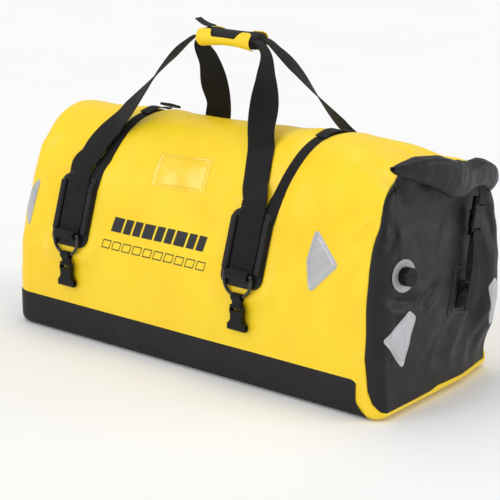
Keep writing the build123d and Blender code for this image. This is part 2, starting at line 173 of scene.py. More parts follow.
def arc(radius: float, degrees: Iterable[int], rise: float = 0.0) -> list[tuple[float, float]]:
    """Points (across, up) on a circle whose middle is rise up."""
    return [(radius * math.cos(math.radians(d)), rise + radius * math.sin(math.radians(d))) for d in degrees]


def flowing(points: Sequence[Sequence[float]], count: int) -> np.ndarray:
    """A smooth curve through given points, at equal distances.

    Args:
        points: The points it passes through.
        count: How many points come back.

    Returns:
        Points on a Catmull-Rom curve.
    """
    p = np.asarray(points, float)
    ends = np.vstack([2 * p[0] - p[1], p, 2 * p[-1] - p[-2]])
    fine = []
    for k in range(1, len(ends) - 2):
        for t in np.linspace(0, 1, 16, endpoint=False):
            a, b, c, d = ends[k - 1], ends[k], ends[k + 1], ends[k + 2]
            fine.append(0.5 * ((2 * b) + (c - a) * t + (2 * a - 5 * b + 4 * c - d) * t ** 2
                               + (3 * b - a - 3 * c + d) * t ** 3))
    fine.append(p[-1])
    return resample(np.array(fine), count)


def between(rows: np.ndarray, places: np.ndarray) -> np.ndarray:
    """Rows of a table at fractional row numbers."""
    at = np.arange(len(rows))
    return np.stack([np.interp(places, at, rows[:, k]) for k in range(rows.shape[1])], axis=1)


class Ripples:
    """Soft irregular waves from a few seeded sines."""

    def __init__(self, seed: int, shortest: float, longest: float, waves: int = 9) -> None:
        """Choose the waves.

        Args:
            seed: Seed of the random draws.
            shortest: Shortest wavelength in metres.
            longest: Longest wavelength in metres.
            waves: How many sines are added.
        """
        rng = np.random.default_rng(seed)
        turns = rng.uniform(0, 2 * math.pi, waves)
        lengths = np.exp(rng.uniform(math.log(shortest), math.log(longest), waves))
        self.kx = 2 * math.pi * np.cos(turns) / lengths
        self.ky = 2 * math.pi * np.sin(turns) / lengths
        self.phase = rng.uniform(0, 2 * math.pi, waves)

    def __call__(self, u: np.ndarray, v: np.ndarray) -> np.ndarray:
        """Height of the waves, about -1 to 1, at distances u and v over the cloth."""
        total = np.zeros(np.broadcast(u, v).shape)
        for kx, ky, phase in zip(self.kx, self.ky, self.phase):
            total = total + np.sin(kx * u + ky * v + phase)
        return total / math.sqrt(2 * len(self.kx))


# Mesh tools.
def grid_faces(rows: int, columns: int, wrap: bool = False) -> list[tuple[int, int, int, int]]:
    """Faces of a grid of points stored row by row.

    Args:
        rows: Number of rows.
        columns: Points in a row.
        wrap: True when the last column joins the first.

    Returns:
        Quads as index tuples.
    """
    steps = [(j, (j + 1) % columns) for j in range(columns if wrap else columns - 1)]
    return [(i + j, i + columns + j, i + columns + k, i + k)
            for i in range(0, (rows - 1) * columns, columns) for j, k in steps]


def new_piece(name: str, points: np.ndarray, faces: Iterable[Sequence[int]],
              uv: np.ndarray | None = None) -> bpy.types.Object:
    """A smooth-shaded mesh object at the origin.

    Args:
        name: Name of the piece.
        points: Its vertices.
        faces: Its faces.
        uv: One (u, v) a vertex, in metres over the cloth.

    Returns:
        The object.
    """
    mesh = bpy.data.meshes.new(name)
    mesh.from_pydata([tuple(p) for p in np.asarray(points, float)], [], [tuple(f) for f in faces])
    mesh.update()
    if uv is not None:
        layer = mesh.uv_layers.new(name="cloth")
        corner_vertices = np.zeros(len(mesh.loops), int)
        mesh.loops.foreach_get("vertex_index", corner_vertices)
        layer.data.foreach_set("uv", np.asarray(uv, float)[corner_vertices].ravel())
    mesh.polygons.foreach_set("use_smooth", [True] * len(mesh.polygons))
    piece = bpy.data.objects.new(name, mesh)
    bpy.context.scene.collection.objects.link(piece)
    return piece


def only(piece: bpy.types.Object) -> None:
    """Make one object the selected and active one."""
    for other in bpy.context.selected_objects:
        other.select_set(False)
    piece.select_set(True)
    bpy.context.view_layer.objects.active = piece


def apply_modifier(piece: bpy.types.Object, kind: str, **settings: object) -> None:
    """Add a modifier with its settings and apply it.

    Args:
        piece: The object that gets it.
        kind: Blender's name of the modifier type.
        settings: Attributes set on it first.
    """
    only(piece)
    modifier = piece.modifiers.new(kind.lower(), kind)
    for name, value in settings.items():
        setattr(modifier, name, value)
    bpy.ops.object.modifier_apply(modifier=modifier.name)


def face_outwards(piece: bpy.types.Object) -> None:
    """Turn the faces of a closed or open mesh to one consistent, outward side."""
    only(piece)
    bpy.ops.object.mode_set(mode="EDIT")
    bpy.ops.mesh.select_all(action="SELECT")
    bpy.ops.mesh.normals_make_consistent(inside=False)
    bpy.ops.object.mode_set(mode="OBJECT")


def face_towards(piece: bpy.types.Object, way: Sequence[float], below: float = math.inf) -> None:
    """Turn a sheet's faces round unless, taken together, they look the given way.

    Args:
        piece: The sheet.
        way: The direction its face should look.
        below: Only faces whose middles are lower than this are counted.
    """
    total = sum((face.normal * face.area for face in piece.data.polygons if face.center.z < below), Vector())
    if total.dot(Vector(way)) < 0:
        piece.data.flip_normals()


def thicken(piece: bpy.types.Object, thickness: float, offset: float = -1.0) -> None:
    """Give a sheet its thickness.

    Args:
        piece: An open sheet whose normals face out.
        thickness: Its thickness in metres.
        offset: -1 grows inwards, 1 outwards.
    """
    apply_modifier(piece, "SOLIDIFY", thickness=thickness, offset=offset, use_even_offset=False,
                   use_rim=True)


def set_finish(piece: bpy.types.Object, material: bpy.types.Material) -> None:
    """Give a piece one material."""
    piece.data.materials.clear()
    piece.data.materials.append(material)


# Finishes.
def linear(colour: str) -> tuple[float, float, float, float]:
    """An sRGB hex colour as linear red, green, blue and alpha 1."""
    values = [int(colour[k:k + 2], 16) / 255 for k in (1, 3, 5)]
    return tuple(v / 12.92 if v <= 0.04045 else ((v + 0.055) / 1.055) ** 2.4 for v in values) + (1.0,)


def add_node(tree: bpy.types.NodeTree, kind: str, links: dict | None = None,
             values: dict | None = None, **settings: object) -> bpy.types.Node:
    """Add a shader node with its settings, socket values and links.

    Args:
        tree: The material's node tree.
        kind: Blender's node type name.
        links: Input socket (name or index) to the output socket that feeds it.
        values: Input socket to its fixed value.
        settings: Attributes of the node.

    Returns:
        The new node.
    """
    made = tree.nodes.new(kind)
    for name, value in settings.items():
        setattr(made, name, value)
    for socket, value in (values or {}).items():
        made.inputs[socket].default_value = value
    for socket, source in (links or {}).items():
        tree.links.new(source, made.inputs[socket])
    return made


def start_material(name: str, **dials: float) -> tuple[bpy.types.Material, bpy.types.NodeTree,
                                                       bpy.types.Node]:
    """An empty node material with its shader already joined to the output.

    Args:
        name: Name of the material.
        dials: Fixed values of the shader, with _ for each space of the socket's name.

    Returns:
        The material, its tree and its Principled shader.
    """
    material = bpy.data.materials.new(name)
    material.use_nodes = True
    tree = material.node_tree
    tree.nodes.clear()
    shader = tree.nodes.new("ShaderNodeBsdfPrincipled")
    output = tree.nodes.new("ShaderNodeOutputMaterial")
    tree.links.new(shader.outputs["BSDF"], output.inputs["Surface"])
    for dial, value in dials.items():
        shader.inputs[dial.replace("_", " ")].default_value = value
    return material, tree, shader


def ramp(tree: bpy.types.NodeTree, source: bpy.types.NodeSocket,
         stops: Sequence[tuple[float, tuple[float, float, float, float]]]) -> bpy.types.NodeSocket:
    """Map a value through colour stops and return the colour socket."""
    made = add_node(tree, "ShaderNodeValToRGB", links={"Fac": source})
    band = made.color_ramp
    band.elements[0].position, band.elements[0].color = stops[0]
    band.elements[1].position, band.elements[1].color = stops[-1]
    for position, colour in stops[1:-1]:
        band.elements.new(position).color = colour
    return made.outputs["Color"]


def grey(value: float) -> tuple[float, float, float, float]:
    """A grey as a colour."""
    return (value, value, value, 1.0)


@dataclass(frozen=True)
class Tarpaulin:
    """PVC-coated polyester tarpaulin: a smooth, slightly waxy skin with the scrim's grid just showing.

    The colour drifts a little over hand-sized areas, the gloss is broken by handling marks,
    and faint creases run through it.
    """

    name: str
    colour: str
    shade: str
    roughness: float
    crease: float = 0.35
    specular: float = 0.30
    scrim_pitch_mm: float = 2.6    # real scrim is 1.1 mm; drawn coarser so that it shows at all
    scrim_depth: float = 0.05

    def material(self) -> bpy.types.Material:
        """Build the node material."""
        material, tree, shader = start_material(self.name, IOR=1.50, Specular_IOR_Level=self.specular)
        place = add_node(tree, "ShaderNodeTexCoord").outputs["Object"]
        drift = add_node(tree, "ShaderNodeTexNoise", links={"Vector": place},
                         values={"Scale": 9.0, "Detail": 3.0, "Roughness": 0.55})
        tone = ramp(tree, drift.outputs["Fac"], [(0.32, linear(self.shade)), (0.62, linear(self.colour))])
        tree.links.new(tone, shader.inputs["Base Color"])
        marks = add_node(tree, "ShaderNodeTexNoise", links={"Vector": place},
                         values={"Scale": 55.0, "Detail": 5.0, "Roughness": 0.6})
        gloss = add_node(tree, "ShaderNodeMapRange", links={"Value": marks.outputs["Fac"]},
                         values={"From Min": 0.3, "From Max": 0.7, "To Min": self.roughness - 0.06,
                                 "To Max": self.roughness + 0.08})
        tree.links.new(gloss.outputs["Result"], shader.inputs["Roughness"])
        pitch = 1 / (self.scrim_pitch_mm * MM)
        apart = add_node(tree, "ShaderNodeSeparateXYZ", links={"Vector": place})
        threads = None
        for axis in ("X", "Z"):
            scaled = add_node(tree, "ShaderNodeMath", links={0: apart.outputs[axis]},
                              values={1: 2 * math.pi * pitch}, operation="MULTIPLY")
            wave = add_node(tree, "ShaderNodeMath", links={0: scaled.outputs[0]}, operation="SINE")
            threads = wave.outputs[0] if threads is None else add_node(
                tree, "ShaderNodeMath", links={0: threads, 1: wave.outputs[0]}, operation="MULTIPLY").outputs[0]
        grain = add_node(tree, "ShaderNodeBump", links={"Height": threads},
                         values={"Strength": self.scrim_depth, "Distance": 0.0004})
        stretched = add_node(tree, "ShaderNodeMapping", links={"Vector": place},
                             values={"Rotation": (0.3, 0.5, 0.7), "Scale": (1.0, 2.6, 1.4)})
        creases = add_node(tree, "ShaderNodeTexNoise", links={"Vector": stretched.outputs["Vector"]},
                           values={"Scale": 13.0, "Detail": 4.0, "Roughness": 0.45, "Distortion": 0.6})
        bump = add_node(tree, "ShaderNodeBump",
                        links={"Height": creases.outputs["Fac"], "Normal": grain.outputs["Normal"]},
                        values={"Strength": self.crease, "Distance": 0.006})
        tree.links.new(bump.outputs["Normal"], shader.inputs["Normal"])
        return material


@dataclass(frozen=True)
class WovenWebbing:
    """Flat woven polyester webbing: fine ribs across, a herringbone of warp threads and a firm selvedge."""

    name: str
    colour: str
    highlight: str
    width_mm: float
    rib_pitch_mm: float = 1.9
    warp_pitch_mm: float = 2.4
    on_cloth: bool = True

    def material(self) -> bpy.types.Material:
        """Build the node material; on_cloth reads the piece's own UV map, else Object coordinates."""
        material, tree, shader = start_material(self.name, Roughness=0.78, Specular_IOR_Level=0.25,
                                                Sheen_Weight=0.06, Sheen_Roughness=0.5)
        coordinates = add_node(tree, "ShaderNodeTexCoord")
        place = coordinates.outputs["UV" if self.on_cloth else "Object"]
        apart = add_node(tree, "ShaderNodeSeparateXYZ", links={"Vector": place})
        across = apart.outputs["X"]
        along = apart.outputs["Y" if self.on_cloth else "Z"]
        zigzag = add_node(tree, "ShaderNodeMath", links={0: across},
                          values={1: self.warp_pitch_mm * MM}, operation="PINGPONG")
        slanted = add_node(tree, "ShaderNodeMath", links={0: along, 1: zigzag.outputs[0]}, operation="ADD")
        ribs = add_node(tree, "ShaderNodeMath", links={0: slanted.outputs[0]},
                        values={1: 2 * math.pi / (self.rib_pitch_mm * MM)}, operation="MULTIPLY")
        rib = add_node(tree, "ShaderNodeMath", links={0: ribs.outputs[0]}, operation="SINE").outputs[0]
        warps = add_node(tree, "ShaderNodeMath", links={0: across},
                         values={1: math.pi / (self.warp_pitch_mm * MM)}, operation="MULTIPLY")
        warp = add_node(tree, "ShaderNodeMath", links={0: warps.outputs[0]}, operation="SINE").outputs[0]
        ridge = add_node(tree, "ShaderNodeMath", links={0: warp}, operation="ABSOLUTE").outputs[0]
        height = add_node(tree, "ShaderNodeMath", links={0: rib, 1: ridge}, operation="MULTIPLY").outputs[0]
        fuzz = add_node(tree, "ShaderNodeTexNoise", links={"Vector": coordinates.outputs["Object"]},
                        values={"Scale": 900.0, "Detail": 2.0})
        rough = add_node(tree, "ShaderNodeMath", links={0: fuzz.outputs["Fac"], 1: height},
                         operation="MULTIPLY_ADD", values={2: 0.0})
        mixed = add_node(tree, "ShaderNodeMapRange", links={"Value": height},
                         values={"From Min": -1.0, "From Max": 1.0})
        tone = ramp(tree, mixed.outputs["Result"], [(0.2, linear(self.colour)), (0.9, linear(self.highlight))])
        tree.links.new(tone, shader.inputs["Base Color"])
        bump = add_node(tree, "ShaderNodeBump", links={"Height": height},
                        values={"Strength": 0.6, "Distance": 0.0006})
        soft = add_node(tree, "ShaderNodeBump",
                        links={"Height": rough.outputs[0], "Normal": bump.outputs["Normal"]},
                        values={"Strength": 0.25, "Distance": 0.0004})
        tree.links.new(soft.outputs["Normal"], shader.inputs["Normal"])
        return material


@dataclass(frozen=True)
class Moulded:
    """Moulded plastic or rubber: spark-eroded grain, a soft sheen and rubbed, slightly brighter patches."""

    name: str
    colour: str
    worn: str
    roughness: float
    grain_mm: float = 0.8          # real grain is 0.2 mm; coarser so that it shows
    grain_depth: float = 0.12
    specular: float = 0.5
    coat: float = 0.0

    def material(self) -> bpy.types.Material:
        """Build the node material."""
        material, tree, shader = start_material(self.name, Specular_IOR_Level=self.specular,
                                                Coat_Weight=self.coat, Coat_Roughness=0.2)
        place = add_node(tree, "ShaderNodeTexCoord").outputs["Object"]
        rubbed = add_node(tree, "ShaderNodeTexNoise", links={"Vector": place},
                          values={"Scale": 70.0, "Detail": 4.0, "Roughness": 0.6})
        tone = ramp(tree, rubbed.outputs["Fac"], [(0.4, linear(self.colour)), (0.75, linear(self.worn))])
        tree.links.new(tone, shader.inputs["Base Color"])
        gloss = add_node(tree, "ShaderNodeMapRange", links={"Value": rubbed.outputs["Fac"]},
                         values={"From Min": 0.3, "From Max": 0.7, "To Min": self.roughness - 0.05,
                                 "To Max": self.roughness + 0.08})
        tree.links.new(gloss.outputs["Result"], shader.inputs["Roughness"])
        grain = add_node(tree, "ShaderNodeTexNoise", links={"Vector": place},
                         values={"Scale": 1 / (self.grain_mm * MM), "Detail": 2.0})
        bump = add_node(tree, "ShaderNodeBump", links={"Height": grain.outputs["Fac"]},
                        values={"Strength": self.grain_depth, "Distance": 0.0003})
        tree.links.new(bump.outputs["Normal"], shader.inputs["Normal"])
        return material


@dataclass(frozen=True)
class ReflectiveFilm:
    """Glass-bead reflective film under clear vinyl: silver grey with a fine lattice of cells."""

    name: str = "silver_reflective_film"
    colour: str = "#C6C7CA"
    cell: str = "#B9BBBF"
    cell_mm: float = 4.5           # real cells are 2 to 3 mm; drawn larger so that they show

    def material(self) -> bpy.types.Material:
        """Build the node material."""
        material, tree, shader = start_material(self.name, Roughness=0.38, Metallic=0.25,
                                                Coat_Weight=0.35, Coat_Roughness=0.22)
        place = add_node(tree, "ShaderNodeTexCoord").outputs["Object"]
        cells = add_node(tree, "ShaderNodeTexVoronoi", links={"Vector": place},
                         values={"Scale": 1 / (self.cell_mm * MM), "Randomness": 0.15},
                         feature="DISTANCE_TO_EDGE")
        lattice = ramp(tree, cells.outputs["Distance"],
                       [(0.03, linear(self.cell)), (0.12, linear(self.colour))])
        cloud = add_node(tree, "ShaderNodeTexNoise", links={"Vector": place},
                         values={"Scale": 22.0, "Detail": 3.0})
        shade = ramp(tree, cloud.outputs["Fac"], [(0.3, grey(0.82)), (0.7, grey(1.0))])
        tone = add_node(tree, "ShaderNodeMix", links={6: lattice, 7: shade}, values={0: 1.0},
                        data_type="RGBA", blend_type="MULTIPLY")
        tree.links.new(tone.outputs[2], shader.inputs["Base Color"])
        bump = add_node(tree, "ShaderNodeBump", links={"Height": cells.outputs["Distance"]},
                        values={"Strength": 0.12, "Distance": 0.0003})
        tree.links.new(bump.outputs["Normal"], shader.inputs["Normal"])
        return material


# The soft body.
class Skin:
    """A finished surface that other pieces lie on, found by casting straight lines at it."""

    def __init__(self, points: np.ndarray, faces: Sequence[Sequence[int]]) -> None:
        """Store the surface.

        Args:
            points: Its vertices.
            faces: Its faces.
        """
        self.tree = BVHTree.FromPolygons([Vector(p) for p in points], [tuple(f) for f in faces])

    def lay(self, origins: np.ndarray, directions: np.ndarray, lift: np.ndarray | float) -> np.ndarray:
        """Points where lines meet the surface, lifted off it.

        Args:
            origins: Start of each line, outside the surface.
            directions: Direction of each line.
            lift: Distance off the surface.

        Returns:
            The lifted points.
        """
        lifts = np.broadcast_to(np.asarray(lift, float), (len(origins),))
        directions = np.broadcast_to(np.asarray(directions, float), (len(origins), 3))
        out = np.zeros((len(origins), 3))
        for k, (start, way) in enumerate(zip(origins, directions)):
            place, normal, _, _ = self.tree.ray_cast(Vector(start), Vector(way))
            if place is None:
                place, normal, _, _ = self.tree.find_nearest(Vector(start) + Vector(way) * 0.2)
            if normal.dot(Vector(way)) > 0:
                normal = -normal
            out[k] = place + normal * float(lifts[k])
        return out


def valley(a: np.ndarray, b: np.ndarray, start: tuple[float, float], end: tuple[float, float],
           depth: float, width: float) -> np.ndarray:
    """A crease along a straight line on the cloth, fading at both ends.

    Args:
        a: First coordinate of the points.
        b: Second coordinate.
        start: One end of the crease.
        end: The other end.
        depth: How deep it is; negative for a ridge.
        width: Half its width.

    Returns:
        Height to add at each point.
    """
    along = np.array(end) - np.array(start)
    length = float(np.hypot(*along))
    along = along / length
    da, db = a - start[0], b - start[1]
    t = (da * along[0] + db * along[1]) / length
    off = da * along[1] - db * along[0]
    fade = smooth(-0.15, 0.25, t) * smooth(1.15, 0.6, t)
    ridge = 0.35 * bell(np.abs(off), 2.0 * width, width)
    return -depth * fade * (np.exp(-(off / width) ** 2) - ridge)


def creases(a: np.ndarray, b: np.ndarray, table: Sequence[tuple]) -> np.ndarray:
    """The valleys of a table of (start, end, depth, width) rows, added up."""
    return sum(valley(a, b, *row) for row in table)


# Creases of the cloth as (start, end, depth, width). On the sides the places are (x, z), on the top
# (x, y) and on the roll end (y, z).
FRONT_CREASES = (((0.392, 0.352), (0.318, 0.306), 0.0040, 0.0085),
                 ((0.388, 0.318), (0.340, 0.262), 0.0034, 0.0080),
                 ((0.376, 0.262), (0.344, 0.190), 0.0026, 0.0090),
                 ((-0.385, 0.30), (-0.335, 0.345), 0.0030, 0.0090),
                 ((0.060, 0.330), (-0.030, 0.362), 0.0016, 0.0100))
REAR_CREASES = (((0.388, 0.335), (0.322, 0.300), 0.0040, 0.0090),
                ((0.382, 0.285), (0.345, 0.235), 0.0034, 0.0080),
                ((-0.388, 0.31), (-0.330, 0.350), 0.0030, 0.0090))
TOP_CREASES = (((0.402, -0.120), (0.300, -0.060), 0.0045, 0.010),
               ((0.398, -0.020), (0.320, 0.010), 0.0050, 0.011),
               ((0.396, 0.100), (0.300, 0.075), 0.0045, 0.010))
ROLL_END_CREASES = (((-0.160, 0.322), (-0.130, 0.308), 0.0060, 0.0085),
                    ((-0.124, 0.308), (-0.152, 0.268), 0.0065, 0.0090),
                    ((-0.162, 0.200), (-0.092, 0.186), 0.0080, 0.0090),
                    ((-0.034, 0.204), (-0.084, 0.170), 0.0075, 0.0080),
                    ((0.115, 0.150), (0.030, 0.030), 0.0045, 0.0140),
                    ((0.138, 0.120), (0.080, 0.025), 0.0040, 0.0120),
                    ((0.055, 0.150), (-0.035, 0.040), 0.0036, 0.0130),
                    ((-0.010, 0.120), (-0.080, 0.035), 0.0030, 0.0110),
                    ((0.110, 0.300), (0.135, 0.215), 0.0040, 0.0100),
                    ((0.000, 0.300), (-0.035, 0.235), 0.0024, 0.0110))

# The top of the arch: an ellipse of these half axes that stands on a straight wall.
ARCH_HALF_WIDTH = 0.1665
ARCH_SPRING = 0.05
ARCH_RISE = 0.35
PAD_LEAN = math.radians(18.0)
PAD_Z = 0.228
PAD_Y = 0.145


def pad_place(x: float, side: Side, v: float, w: float, across: float = 0.0) -> np.ndarray:
    """A point on an anchor pad: v up it, w out from its back and across to its right."""
    out = PAD_Y - v * math.sin(PAD_LEAN) + w * math.cos(PAD_LEAN)
    return np.array([x - side.value * across, side.value * out,
                     PAD_Z + v * math.cos(PAD_LEAN) + w * math.sin(PAD_LEAN)])


CLOTH_ROUND = 1.08    # metres of cloth taken round the tube by the ripples and the weave
STRAP_RUNS = ((-0.227, -0.166), (0.166, 0.227))
STRAP_START = math.asin((0.296 - ARCH_SPRING) / ARCH_RISE)


def strap_line(y: np.ndarray, z: np.ndarray, run: tuple[float, float]) -> tuple[np.ndarray, np.ndarray]:
    """Where a compression strap passes over the arch: its x and how far along it that is."""
    turn = np.arctan2((z - ARCH_SPRING) / ARCH_RISE, -y / ARCH_HALF_WIDTH)
    along = (turn - STRAP_START) / (math.pi - 2 * STRAP_START)
    return run[0] + (run[1] - run[0]) * along, along


@dataclass
class TubeForm:
    """The outside of the welded tube as a table of points: rows along the bag, columns around it.

    Columns start at the middle of the base and go up the front, over the top and down the rear.
    """

    half_width: float = ARCH_HALF_WIDTH
    spring: float = 0.050
    base_gap: float = 0.0017
    corner: float = 0.012
    closed_x: float = -0.410
    closed_round: float = 0.044
    start_x: float = -0.366
    end_x: float = 0.385
    columns: int = 224
    straight_rows: int = 172
    round_rows: int = 11
    points: np.ndarray = field(init=False)
    normals: np.ndarray = field(init=False)

    def __post_init__(self) -> None:
        """Work out the table."""
        self.points = self.displaced(self.plain())
        self.normals = sheet_normals(self.points)

    def crown(self, x: float) -> float:
        """Height of the top along the bag."""
        return float(np.interp(x, [-0.41, -0.366, -0.25, -0.12, 0.0, 0.1, 0.22, 0.28, 0.33, 0.385],
                               [0.389, 0.391, 0.395, 0.397, 0.401, 0.404, 0.406, 0.406, 0.401, 0.392]))

    def squareness(self, x: float) -> float:
        """Power of the arch's curve: 2 is an ellipse, and it gets squarer towards the roll end."""
        return 2.0 + 0.35 * float(smooth(0.15, 0.30, x)) + 1.5 * float(smooth(0.28, 0.388, x))

    def ring(self, x: float, inset: float) -> np.ndarray:
        """One cross-section as (y, z) points at equal distances."""
        a = self.half_width - inset
        rise = self.crown(x) - inset - self.spring
        power = 2.0 / self.squareness(x)
        turn = np.linspace(math.pi, 0, 181)
        arch = np.stack([a * np.sign(np.cos(turn)) * np.abs(np.cos(turn)) ** power,
                         self.spring + rise * np.abs(np.sin(turn)) ** power], axis=1)
        r = self.corner
        bend = np.linspace(0, math.pi / 2, 8)
        low = np.stack([-(a - r) - r * np.sin(bend), self.base_gap + r - r * np.cos(bend)], axis=1)
        high = low[::-1] * [-1, 1]
        outline = np.vstack([[(0.0, self.base_gap)], low, arch, high])
        return resample(outline, self.columns, closed=True)

    def plain(self) -> np.ndarray:
        """The smooth form before the cloth's own shape is added."""
        rows = [(self.closed_x, inset) for inset in (0.060, 0.052)]
        for k in range(self.round_rows):
            turn = math.pi / 2 * (1 - k / self.round_rows)
            rows.append((self.start_x - self.closed_round * math.sin(turn),
                         self.closed_round * (1 - math.cos(turn))))
        rows += [(x, 0.0) for x in np.linspace(self.start_x, self.end_x, self.straight_rows)]
        self.row_x = np.array([x for x, _ in rows])
        table = np.zeros((len(rows), self.columns, 3))
        for i, (x, inset) in enumerate(rows):
            outline = self.ring(x, inset)
            lean = np.interp(outline[:, 1], [0, 0.24, 0.29, 0.333, 0.36, 0.381, 0.40],
                             [0, 0, 0.005, 0.012, 0.009, 0.003, 0.002])
            table[i, :, 0] = x + lean * float(smooth(0.16, self.end_x, x))
            table[i, :, 1:] = outline
        return table

    def displaced(self, table: np.ndarray) -> np.ndarray:
        """Add what the cloth does: strap valleys, flat seats under the pads, folds near the roll."""
        x, y, z = table[..., 0], table[..., 1], table[..., 2]
        around = np.broadcast_to(np.arange(self.columns) * (CLOTH_ROUND / self.columns), x.shape)
        rows = np.broadcast_to(self.row_x[:, None], x.shape)
        free = smooth(0.045, 0.11, z)
        push = free * (0.0021 * Ripples(11, 0.16, 0.5)(x, around)
                       + 0.0007 * Ripples(5, 0.05, 0.12)(x, around))
        near_seam = smooth(0.29, 0.386, rows) * free
        push += near_seam * 0.0022 * Ripples(21, 0.035, 0.10)(x, around)
        near_end = smooth(-0.33, -0.40, rows) * free
        push += near_end * 0.0012 * Ripples(31, 0.04, 0.10)(x, around)
        for run in STRAP_RUNS:
            line, along = strap_line(y, z, run)
            over = smooth(-0.08, 0.04, along) * smooth(1.08, 0.96, along) * (z > 0.2)
            push += over * (-0.0042 * bell(x, line, 0.015) + 0.0018 * bell(np.abs(x - line), 0.036, 0.018))
        push += 0.0010 * smooth(0.373, 0.377, rows) * free
        top = (z > 0.30) & (rows > 0.2)
        push -= 0.017 * bell(y, 0.045, 0.055) * smooth(0.30, 0.386, rows) * smooth(0.30, 0.36, z)
        push += 0.006 * bell(y, -0.135, 0.03) * smooth(0.33, 0.386, rows) * smooth(0.30, 0.36, z)
        front = (y < 0) & (z > 0.10)
        rear = (y > 0) & (z > 0.10)
        push += front * creases(x, z, FRONT_CREASES)
        push += rear * creases(x, z, REAR_CREASES)
        push += top * creases(x, y, TOP_CREASES)
        for corner in CORNERS:
            outward = y * corner.side.value
            rise = -(outward - PAD_Y) * math.sin(PAD_LEAN) + (z - PAD_Z) * math.cos(PAD_LEAN)
            off = (outward - PAD_Y) * math.cos(PAD_LEAN) + (z - PAD_Z) * math.sin(PAD_LEAN)
            seat = (smooth(0.078, 0.047, np.abs(x - corner.x)) * smooth(0.100, 0.067, np.abs(rise))
                    * (outward > 0))
            push = push * (1 - seat) + seat * (-0.0006 - off)
        push = push * smooth(self.closed_x, self.closed_x + 0.012, rows)
        out = table + sheet_normals(table) * push[..., None]
        out[..., 2] = np.maximum(out[..., 2], self.base_gap)
        return out

    def faces(self) -> list[tuple[int, int, int, int]]:
        """Faces of the whole table."""
        return grid_faces(*self.points.shape[:2], wrap=True)

    def distances(self) -> np.ndarray:
        """(u, v) in metres over the cloth for each point of the table."""
        along = np.zeros(self.points.shape[0])
        along[1:] = np.cumsum(np.linalg.norm(np.diff(self.points[:, self.columns // 2], axis=0), axis=1))
        around = np.arange(self.columns) * (CLOTH_ROUND / self.columns)
        return np.stack(np.meshgrid(along, around, indexing="ij"), axis=-1)


# The roll from front to rear: place of its middle, then half its depth and half its height, in mm.
ROLL_STATIONS = ((418, -152, 407, 3, 4), (422, -134, 402, 13, 12), (428, -106, 398, 20, 23),
                 (435, -68, 389, 24, 31), (440, -28, 373, 23, 34), (440, 10, 361, 20, 31),
                 (436, 50, 362, 18, 29), (431, 90, 355, 20, 27), (424, 118, 341, 19, 27),
                 (417, 138, 335, 13, 18), (412, 149, 332, 5, 9))


def roll_height(y: np.ndarray) -> np.ndarray:
    """Height of the roll's middle at places across the bag."""
    rows = np.array(ROLL_STATIONS, float) * MM
    return np.interp(y, rows[:, 1], rows[:, 2])


